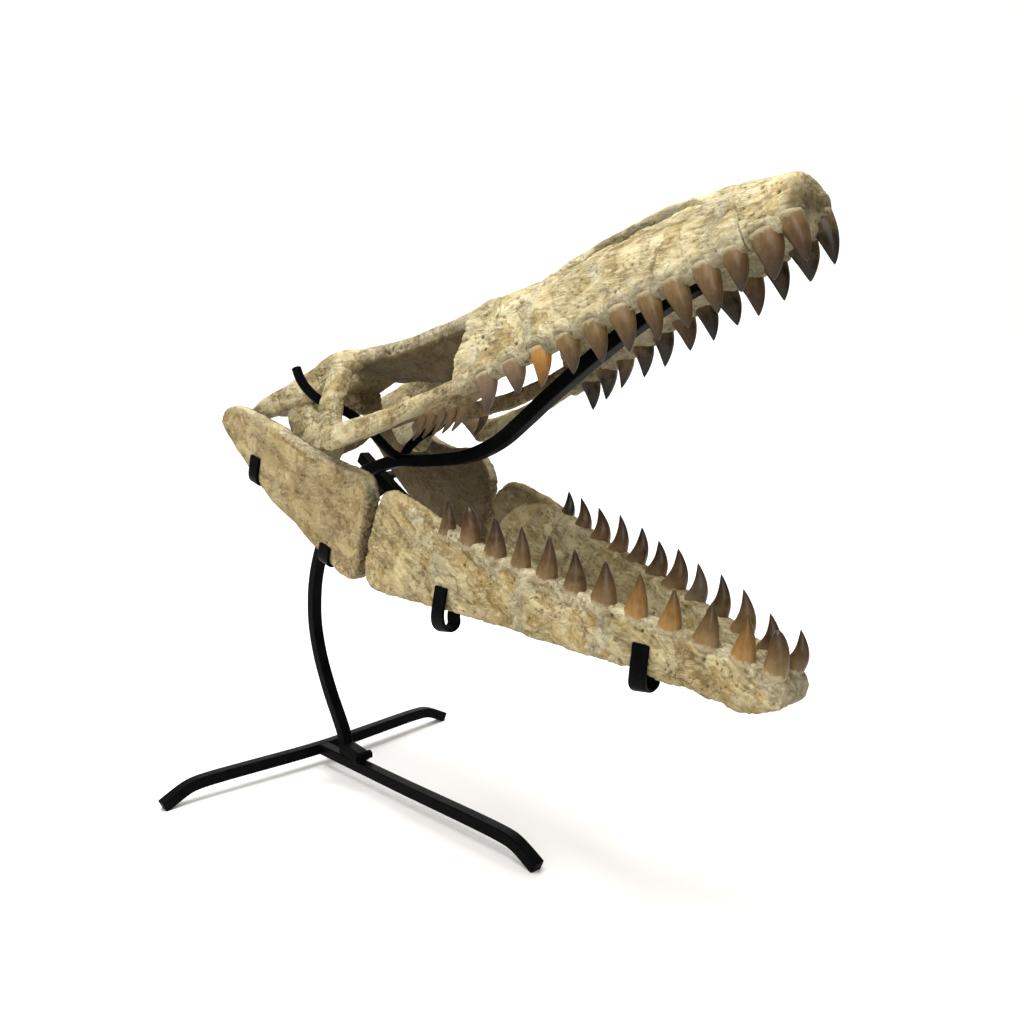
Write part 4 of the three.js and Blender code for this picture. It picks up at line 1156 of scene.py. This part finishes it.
# %% Pterygoids
PALATE_ROW = {"right": (97, 111, 125, 139, 152), "left": (110,)}
PALATE_TINT = {"right": (0.17, 0.105, 0.045), "left": UMBER}
PALATE_LIFT = {"right": 0, "left": 12}
HOOK_CORNERS, HOOK_RINGS = 14, 11
for name, side in SIDES:
    lift = PALATE_LIFT[name]
    bar_path = [
        [-14, 51, 26 + lift, 8, 20], [10, 45, 27 + lift, 9, 22], [34, 38, 30 + 0.7 * lift, 10, 15],
        [62, 33, 24 + 0.3 * lift, 10, 12], [95, 30, 20, 11, 14], [125, 29, 14, 12, 15],
        [155, 30, 9, 12, 15], [190, 36, 8, 11, 14], [212, 45, 11, 10, 12], [222, 51, 13, 8, 10],
    ]
    # The pterygoid bars get the darker copy of the colours, as painted shade.
    cheek_bone("pterygoid_bone_" + name, [mirrored(side, bar_path)], "pterygoid_" + name, side * 29,
               material=shaded_inner_bone)
    bm, tints, rises = bmesh.new(), [], []
    for u in PALATE_ROW[name]:
        v = 17 - 0.2 * (u - 97)
        hook = [[u + 6, 31, v + 1, 8, 13], [u + 3, 31, v - 6, 7.5, 10.5],
                [u - 5, 31, v - 13, 5.2, 6.4], [u - 17, 31, v - 18, 1.4, 1.6]]
        loft(bm, limb_rings(skull, mirrored(side, hook), steps=HOOK_RINGS - 1, count=HOOK_CORNERS, soft=1))
        for k in range(HOOK_RINGS):
            tints += [PALATE_TINT[name]] * HOOK_CORNERS
            rises += [0.2 + 0.07 * k] * HOOK_CORNERS
    keep_on_vertices(finish("palate_teeth_" + name, bm, upper_enamel, (), "tooth_enamel"), tints, rises)

# %% [markdown]
# ## Snout
# Each maxilla is a wall that stands on the tooth row and leans in towards the nose, with a shelf
# inside. The premaxilla is the blunt tip, with a long bar back between the nostrils.

# %% Maxillae
# Top edge (y, v), shelf (y, v) and outer wall at the teeth, by place along the snout.
SNOUT = [
    (197, 44, 66, 56, 12, 65.4), (218, 38, 66, 52, 12, 60.8), (240, 32, 66, 47, 12, 55.8),
    (262, 27, 63, 40, 11, 51.1), (285, 23, 61, 26, 9, 46.6), (310, 20, 60, 8, 8, 41.4),
    (350, 15, 58, 0.3, 7, 34.8), (400, 8, 54, 0.3, 7, 27.8), (450, 3, 47, 0.3, 7, 21.6),
]

# The leaning wall, between the tooth row and the top: share across, share up, bulge outwards.
LEANING_WALL = ((0.15, 0.22, 2.2), (0.3, 0.42, 3), (0.5, 0.61, 3.3), (0.68, 0.78, 3), (0.86, 0.92, 1.6))
REAR_SKEW = 0.42  # how far the rear edge leans forward


def between(a, b, share):
    """The value at a share of the way from a to b."""
    return a + (b - a) * share


def snout_ring(u, side):
    """The section of a maxilla: outer wall, top edge, inner wall and shelf."""
    top_y, top_v, shelf_y, shelf_v, wall = reading(SNOUT, u)
    shelf_y = min(shelf_y, wall - 8)
    inner = max(0.3, top_y - 8)
    outline = [(wall + 5.5, -3.5), (wall + 7.6, 1), (wall + 8, 8)]
    outline += [
        (between(wall + 8, top_y, across) + bulge, between(8, top_v, up))
        for across, up, bulge in LEANING_WALL
    ]
    outline += [
        (top_y, top_v), ((top_y + inner) / 2, top_v - 1), (inner, top_v - 5),
        (max(0.3, between(wall - 4, inner, 0.5)), between(14, top_v, 0.5)),
        (shelf_y, shelf_v + 11), (shelf_y, shelf_v), (wall - 8, -1), (wall - 2, -4),
    ]
    skew = REAR_SKEW * (1 - fade(u, 197, 250))
    return [skull(u + skew * max(0.0, v - 10), side * y, v) for y, v in outline]


MAXILLA_PITS = ((231, 32), (233, 21), (262, 13), (352, 14))


def maxilla_marks(u, y, v):
    """Filler along the gums and in the breaks, pits, the broken upper edge, and painted shade low along
    the gums.
    """
    hu, hv = u, v
    u, v = ragged(u, v)
    gums = 0.62 * fade(v, 14, 4) + 0.35 * fade(v, 24, 10) * fade(u, 380, 430)
    broken = 0.55 * seam(u, v, [(278, 62), (274, 40), (271, 8)], 9)
    broken = max(broken, 0.6 * seam(u, v, [(437, 48), (433, 30), (421, 8)], 9))
    broken = max(broken, 0.4 * seam(u, v, [(330, 50), (338, 26), (352, 8)], 7))
    patch = 0.55 * dab(u, v, (216, 20), (17, 16)) + 0.5 * dab(u, v, (300, 52), (22, 7))
    cut = 0.8 * seam(u, v, [(386, 26), (382, 14), (384, 6)], 1.3)
    cut = max(cut, 0.6 * seam(u, v, [(405, 52), (412, 34), (424, 27), (446, 30)], 1.2))
    step = seam(u, v, [(322, 56), (360, 47), (392, 40), (404, 30)], 3)
    hole = nerve_hole(hu, hv, MAXILLA_PITS)
    outside = abs(y) > reading(SNOUT, u)[4] - 1
    # Cuts, pits and steps are darker; the lowest band along the gums is painted shade.
    dark = max(max(0.7 * cut, hole, 0.2 * step) * outside, 0.32 * fade(v, 8, -3))
    return (0.7 * cut + 1.5 * hole + 0.5 * step) * outside, dark, max(gums, broken, patch)


for name, side in SIDES:
    wall = [snout_ring(u, side) for u in spread(197, 450, 90)]
    make_bone("maxilla_bone_" + name, [wall, *collars(skull, UPPER, side, range(10))], skull,
              skull_bone, "maxilla_" + name, swell=1.0, flakes=0.8, fibres=0.5, slant=-6,
              seed=13 * side, marks=maxilla_marks)

# %% [markdown]
# The tip is one bone for both sides. Its rings crowd together at the front, so that it ends round,
# and the bar between the nostrils is a limb that lies in it. Both are melted into one skin.

# %% Premaxilla
# Half width, top and bottom, by place along the tip.
TIP = [
    (450.5, 29.5, 47.6, -3), (463, 28.7, 43, -3), (474, 27.8, 38.9, -2.5), (479, 27, 37.5, -1),
    (483, 26, 36.5, 4), (487, 24.5, 35.1, 9.5), (490, 21, 33.3, 14), (492.2, 14, 30.4, 18),
]
TIP_SECTION = ((0.9, 0), (0.98, 0.08), (1, 0.2), (0.97, 0.38), (0.89, 0.58), (0.76, 0.76),
               (0.58, 0.89), (0.35, 0.97), (0.1, 1))


def tip_ring(u):
    """The section of the tip at a place."""
    half, top, bottom = reading(TIP, u)
    return halves(u, half, [(share, bottom + up * (top - bottom)) for share, up in TIP_SECTION])


NASAL_BAR = [
    [257, 0, 66, 12, 15], [286, 0, 66.4, 13, 16], [319, 0, 65.8, 14, 16], [360, 0, 62, 14, 16],
    [388, 0, 58, 14, 16], [414, 0, 52.3, 14, 16], [440, 0, 43.5, 15, 16], [462, 0, 33, 15, 14],
]
TIP_PITS = ((480, 22), (470, 30), (466, 12))


def tip_marks(u, y, v):
    """Filler round the front sockets, pits on the tip, darker sides on the bar to the nostrils, and
    painted shade low on the tip.
    """
    hu, hv = ragged(u, v)
    nose = fade(hu, 475, 489)
    gums = 0.7 * fade(hv, 13, 3) * (u > 448) * (1 - 0.75 * nose)
    # The sides of the bar to the nostrils are painted darker.
    bar_side_dark = fade(abs(y), 4, 7) * fade(u, 300, 330) * fade(u, 425, 400)
    hole = nerve_hole(u, v, TIP_PITS, 1.8)
    # Painted shade low on the tip, near the gums and under the nose.
    painted_foot_shade = max(0.3 * fade(v, 14, 2), 0.85 * nose * fade(hv, 30, 12))
    return 1.4 * hole, max(0.9 * hole, 0.7 * bar_side_dark, painted_foot_shade), gums


tip_start, tip_length = TIP[0][0], TIP[-1][0] - TIP[0][0]
tip = [tip_ring(tip_start + tip_length * math.sin(t)) for t in spread(0, math.pi / 2, 26)]
sockets = [cone for name, side in SIDES for cone in collars(skull, UPPER, side, range(10, 12))]
make_bone("snout_premaxilla", [tip, limb_rings(skull, NASAL_BAR, steps=40), *sockets], skull, lit_tip_bone,
          "premaxilla", swell=0.9, seed=9, marks=tip_marks)

# %% [markdown]
# ## Stand
# Square mild steel bar, bent cold, so its corners stay crisp but not sharp. A rounded square is
# swept along each bar. A curve with a bevel would do the same, but here the ring can keep its
# twist, and the ends get a small chamfer.

# %% Bars of steel
def rounded_square(size, radius, thick=None):
    """Corners of a bar's section as offsets in millimetres, four to each rounded edge."""
    half_wide, half_high = size / 2 - radius, (thick or size) / 2 - radius
    out = []
    for quarter, (a, b) in enumerate(((1, 1), (1, -1), (-1, -1), (-1, 1))):
        for step in range(4):
            turn = math.radians(quarter * 90 + step * 30)
            out.append((a * half_wide + radius * math.sin(turn),
                        b * half_high + radius * math.cos(turn)))
    return out


CHAMFER, CHAMFER_SHARE = 0.8, 0.86  # length in millimetres, and size of the end beside the bar's


def bar_rings(place, points, outline, steps, across=Vector((0, 1, 0))):
    """Rings of a bar bent through points, with its side kept towards across."""
    rows = line_through(points, steps)
    spots = [place(*row) for row in rows]
    rings = []
    for i in range(steps + 1):
        ahead = (spots[min(i + 1, steps)] - spots[max(i - 1, 0)]).normalized()
        side = (across - ahead * across.dot(ahead)).normalized()
        rise = side.cross(ahead)
        rings.append([spots[i] + MM * (side * a + rise * b) for a, b in outline])
    for end, inward in ((0, 1), (-1, -1)):
        middle = spots[end]
        slope = MM * CHAMFER * (spots[end + inward] - middle).normalized()
        eased = [middle + CHAMFER_SHARE * (spot - middle) for spot in rings[end]]
        rings[end] = [spot + slope for spot in rings[end]]
        rings.insert(0 if end == 0 else len(rings), eased)
    return rings


def steel(label, bm, node):
    """A painted piece of the stand, whose flats stay flat up to its rounded edges."""
    piece = finish(label, bm, stand_paint, [node], "stand_paint", smooth=38)
    weighted = piece.modifiers.new("crisp_flats", "WEIGHTED_NORMAL")
    weighted.keep_sharp = True


def bent_bar(label, rings, node, cut_level=False):
    """A bar, strip or rod through its rings, cut level with the floor if it stands there."""
    bm = bmesh.new()
    loft(bm, rings)
    if cut_level:
        bmesh.ops.bisect_plane(
            bm, geom=bm.verts[:] + bm.edges[:] + bm.faces[:], dist=1e-6,
            plane_co=(0, 0, 0), plane_no=(0, 0, 1), clear_inner=True,
        )
        bmesh.ops.holes_fill(bm, edges=[e for e in bm.edges if e.is_boundary])
    steel(label, bm, node)


BAR_SIZE, GAP = 12, 0.3  # pieces that touch lie a gap apart, as their solids do
BAR = rounded_square(BAR_SIZE, 1.3)
print("a bar has", len(BAR), "corners in its section")

# %% [markdown]
# The base is a crossbar, bent a little back on the left, and a leg forward along the midline. Each
# end drops to the floor in a soft curve, and a plane cuts its foot level.

# %% Base
# Height of the bars, length of the bend down to a foot, and height of the foot's middle.
RISE, FOOT_RUN, FOOT_RISE = 19, 31, 4
RIGHT_REACH, LEFT_REACH, FRONT_REACH = 187, 197, 352
LEFT_BEND = 0.11  # how far the left half of the crossbar runs back, as a share of its length


def foot_slope(reach):
    """Distance and height of points from the foot up to the level bar."""
    return [(reach, FOOT_RISE), (reach - 0.5 * FOOT_RUN, FOOT_RISE + 0.52 * (RISE - FOOT_RISE)),
            (reach - 0.9 * FOOT_RUN, RISE - 2), (reach - 1.3 * FOOT_RUN, RISE)]


cross = [(0, -d, z) for d, z in foot_slope(RIGHT_REACH)] + [(0, 0, RISE)]
cross += [(-LEFT_BEND * d, d, z) for d, z in reversed(foot_slope(LEFT_REACH))]
bent_bar("base_crossbar", bar_rings(room_shift, cross, BAR, 110, across=Vector((1, 0, 0))),
         "stand_crossbar", cut_level=True)

leg_line = [(BAR_SIZE / 2 + GAP, 0, RISE), (150, 0, RISE)]
leg_line += [(d, 0, z) for d, z in reversed(foot_slope(FRONT_REACH))]
bent_bar("base_leg", bar_rings(room_shift, leg_line, BAR, 100), "stand_leg", cut_level=True)

# %% [markdown]
# The post carries everything. It leans back from its foot, bends forward under the jaws, and ends
# inside the snout.

# %% Post
POST = [
    (52, 0, 26), (49, 0, 45), (37.5, 0, 65), (27.5, 0, 80), (18.3, 0, 95.5), (3, 0, 127), (-6, 0, 160),
    (-7, 0, 186), (-3, 0, 214), (9, 0, 246), (34, 0, 286), (66, 0, 320), (92, 0, 337), (124, 0, 348),
    (160, 0, 355), (205, 0, 357), (264, 0, 364), (304, 0, 378), (335, 0, 397), (365, 0, 417),
    (419, 0, 450), (476, 0, 480), (512, 0, 495),
]
bent_bar("post", bar_rings(room_shift, POST, BAR, 140), "stand_post")

# %% [markdown]
# The post's foot is held by a lug welded on the leg: a bar with a rounded nose and a hexagon bolt.
# The lug is a flat outline that is extruded, then its edges are bevelled.

# %% Lug and bolt
# Start on the leg, height of its underside, sizes, radius of the nose, and end of its flat rear.
LUG = {"x": 51, "z": 25.3, "length": 37, "wide": 13, "high": 14, "nose": 5.5, "rear": 6.6}
BOLT = {"radius": 5, "thick": 4, "out": 2.3}
bm = bmesh.new()
nose_x, rear_x = LUG["x"] + LUG["length"] - LUG["nose"], LUG["x"] + LUG["rear"]
rim = [(rear_x, LUG["z"]), (nose_x, LUG["z"])]
rim += [
    (nose_x + LUG["nose"] * math.cos(a), LUG["z"] + LUG["nose"] * (1 + math.sin(a)))
    for a in spread(-math.pi / 2, math.pi / 2, 12)[1:]
]
rim += [(rear_x, LUG["z"] + LUG["high"])]
face = bm.faces.new([bm.verts.new(room_shift(x, -LUG["wide"] / 2, z)) for x, z in rim])
grown = bmesh.ops.extrude_face_region(bm, geom=[face])["geom"]
bmesh.ops.translate(
    bm, verts=[g for g in grown if isinstance(g, bmesh.types.BMVert)], vec=(0, LUG["wide"] * MM, 0)
)
bmesh.ops.recalc_face_normals(bm, faces=bm.faces)
sharp = [e for e in bm.edges if e.calc_face_angle(0) > 0.9]
bmesh.ops.bevel(bm, geom=sharp, offset=0.8 * MM, segments=2, affect="EDGES", profile=0.5, material=-1)
steel("post_lug", bm, "stand_lug")

for name, side in SIDES:
    bm = bmesh.new()
    turn = Matrix.Rotation(math.pi / 2, 4, "X")
    spot = room_shift(nose_x, side * (LUG["wide"] / 2 + BOLT["out"]), LUG["z"] + LUG["nose"])
    bmesh.ops.create_cone(bm, cap_ends=True, segments=6, radius1=BOLT["radius"] * MM,
                          radius2=BOLT["radius"] * MM, depth=BOLT["thick"] * MM,
                          matrix=Matrix.Translation(spot) @ turn)
    bmesh.ops.bevel(bm, geom=bm.edges[:], offset=0.45 * MM, segments=2, affect="EDGES",
                    profile=0.5, material=-1)
    steel("lug_bolt_" + name, bm, "stand_bolt_" + name)

# %% [markdown]
# A second bar lies beside the post and runs down between the lower jaws. Flat strips are bent into
# hooks that hold the dentaries from below, and into arms that hold the rear plates.

# %% Jaw bar
BESIDE = BAR_SIZE + GAP  # middle of the jaw bar where it lies beside the post
JAW_BAR = [
    (-68, BESIDE, -13), (-20, BESIDE, -27), (40, BESIDE, -42), (76, BESIDE, -49.5), (120, 5, -57),
    (155, 0, -60.5), (188, 0, -62), (270, 0, -57), (330, 0, -49), (377, 0, -45),
]
bent_bar("jaw_bar", bar_rings(jaw, JAW_BAR, BAR, 70), "stand_jaw_bar")

# %% [markdown]
# A hook goes down the outside of a dentary, round below it, up again, and flat to the jaw bar. An
# arm does the same for a rear plate. Both are listed as points, then swept with a strip's section.

# %% Hooks and arms
STRIP_THICK = 3
STRIP, ARM_STRIP = rounded_square(15, 0.9, STRIP_THICK), rounded_square(17, 0.9, STRIP_THICK)
BAR_FACE, CLEAR = BAR_SIZE / 2 + GAP, STRIP_THICK / 2 + GAP
# Place along the jaw, top, bottom, level of the bar, lean of the lower part, and bulge.
HOOKS = {"rear": (188, -42, -81, -62, 5, 3), "front": (368, -15, -52, -45, 5, 2)}
# Place along the jaw, top, bottom, then place, height and distance from the midline of the root.
# The rear arm starts at the post, on the midline, and the front arm at the jaw bar beside it.
ARMS = {"rear": (-101, -19, -47, -68, -64, 0), "front": (28, -66, -85, 28, -39, BESIDE)}
# Middle and thickness of the rear plate, by place along it.
PLATE_MIDDLE = [(-180, 90, 10), (-100, 85, 15), (0, 78.5, 16), (75, 72, 16)]
ARM_LAP = 9.6  # how far an arm lies flat before it reaches its bar


def hook_path(spot, top, bottom, level, lean, bulge):
    """Points of a hook, from its tip outside the jaw to the jaw bar."""
    outer, thick = reading(JAW_WALL, spot)
    outer += CLEAR
    inner = outer - thick - 4
    middle, low = (outer + inner) / 2, spot + lean
    return [(spot, outer, top), (low, outer + bulge, bottom + 14), (low, outer - 2, bottom + 4),
            (low, middle, bottom), (low, inner + 3, bottom + 4), (spot, inner, bottom + 13),
            (spot, inner - 7, level), (spot, BAR_FACE, level)]


def arm_path(side, spot, top, bottom, root, root_v, aside):
    """Points of an arm, from its tip outside the rear plate to its root."""
    middle, thick = reading(PLATE_MIDDLE, spot)
    reach, end = thick / 2 + CLEAR, BAR_FACE + side * aside
    return [(spot, middle + reach, top), (spot, middle + reach, bottom + 6),
            (spot, middle + reach - 2.5, bottom + 1), (spot, middle, bottom),
            (spot, middle - reach, bottom - 1),
            ((spot + root) / 2, 0.75 * (middle - reach), (bottom + root_v) / 2),
            (root, end + ARM_LAP, root_v), (root, end, root_v)]


jaw_axis = (jaw(1, 0, 0) - jaw(0, 0, 0)).normalized()
for name, side in SIDES:
    for at, shape in HOOKS.items():
        path = mirrored(side, hook_path(*shape))
        rings = bar_rings(jaw, path, STRIP, 56, across=Vector((1, 0, 0.12)))
        bent_bar(f"hook_{at}_{name}", rings, f"stand_jaw_hook_{at}_{name}")
    for at, shape in ARMS.items():
        path = mirrored(side, arm_path(side, *shape))
        rings = bar_rings(jaw, path, ARM_STRIP, 64, across=jaw_axis)
        bent_bar(f"arm_{at}_{name}", rings, f"stand_plate_arm_{at}_{name}")

# %% [markdown]
# Two round rods leave the post and curl outwards and up, and the corners of the skull lie on them.

# %% Cradle rods
ROD = 9  # diameter
ROD_STARTS = {
    "right": [[162, 7, 360], [165, 16, 364], [168, 26, 371]],
    "left": [[154, BAR_FACE, 357], [156.5, 10.5, 366], [165, 21, 379]],
}
for name, side in SIDES:
    path = ROD_STARTS[name] + [
        [168, 42, 387 + 2 * side], [159, 58, 401], [146, 70, 409], [139, 80, 415], [132, 88, 425],
        [127, 92, 435], [123, 93, 444],
    ]
    rod = [[x, side * y, z, ROD, ROD] for x, y, z in path]
    rings = limb_rings(room_shift, rod, steps=60, count=18, soft=1, across=Vector((1, 0, 0)))
    bent_bar("cradle_rod_" + name, rings, "stand_cradle_" + name)

# %% [markdown]
# ## Studio
# A pale floor that curves up behind the specimen, one big soft light overhead and a weak one from
# the front left, so that the underside of each bone falls into shade.

# %% Floor
FLOOR_NEAR, FLOOR_FAR, CURVE, WALL_TOP, HALF_WIDE = -2.2, 2.0, 1.2, 4.0, 4.5  # metres
bm = bmesh.new()
back = Matrix.Rotation(camera.rotation_euler.z, 4, "Z")
profile = [(FLOOR_NEAR, 0), (FLOOR_FAR, 0)] + [
    (FLOOR_FAR + CURVE * math.sin(a), CURVE - CURVE * math.cos(a))
    for a in spread(0, math.pi / 2, 14)[1:]
] + [(FLOOR_FAR + CURVE, WALL_TOP)]
verts = [bm.verts.new(back @ Vector((-HALF_WIDE, y, z))) for y, z in profile]
edges = [bm.edges.new(pair) for pair in zip(verts, verts[1:])]
grown = bmesh.ops.extrude_edge_only(bm, edges=edges)["geom"]
bmesh.ops.translate(bm, verts=[g for g in grown if isinstance(g, bmesh.types.BMVert)],
                    vec=back @ Vector((2 * HALF_WIDE, 0, 0)))
floor_mesh = bpy.data.meshes.new("studio_floor")
for face in bm.faces:
    face.smooth = True
bm.to_mesh(floor_mesh)
bm.free()
studio_floor = bpy.data.objects.new("studio_floor", floor_mesh)
bpy.context.collection.objects.link(studio_floor)
paper, _, _, shader = new_material("studio_paper")
shader.inputs["Base Color"].default_value = (0.92, 0.92, 0.92, 1)
shader.inputs["Roughness"].default_value = 0.9
floor_mesh.materials.append(paper)
studio_floor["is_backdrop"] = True
print("paper faces:", len(floor_mesh.polygons))

# %% [markdown]
# A disk of light gives shadows with soft edges; the larger it is, the softer they are. The air adds
# a little warm light from every side, as pale walls would.

# %% Lights
def soft_light(name, spot, aim, size, power, colour=(1, 1, 1)):
    """A disk of light in metres and watts, turned to face a spot."""
    data = bpy.data.lights.new(name, "AREA")
    data.shape, data.size, data.energy, data.color = "DISK", size, power, colour
    lamp = bpy.data.objects.new(name, data)
    bpy.context.collection.objects.link(lamp)
    lamp.location = spot
    lamp.rotation_euler = (Vector(aim) - Vector(spot)).to_track_quat("-Z", "Y").to_euler()


soft_light("light_overhead", (0.1, -0.5, 2.3), (0, 0, 0.3), 1.4, 62, (1, 0.98, 0.95))
soft_light("light_front", (1.2, -1.9, 1.1), (0, 0, 0.3), 1.2, 19, (1, 0.98, 0.96))
# A third one is aimed at the paper at the back.
soft_light("light_backdrop", back @ Vector((0, 1.4, 3.0)), back @ Vector((0, 3.2, 1.3)), 2.0, 90)
world = bpy.data.worlds.new("studio_air")
bpy.context.scene.world = world
world.use_nodes = True
air = world.node_tree.nodes["Background"].inputs
air["Color"].default_value = (1.0, 0.95, 0.86, 1)
air["Strength"].default_value = 0.36
print("lights:", len(bpy.data.lights))

# %% [markdown]
# Last, the box of the dressed model is measured beside that of the solids. The two have to agree,
# because the bones are skins over those solids.

# %% Sizes and the end
boxes = [[list(corner) for corner in box] for box in (solid_box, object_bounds())]
print("size of the solids and of the dressed model", boxes)
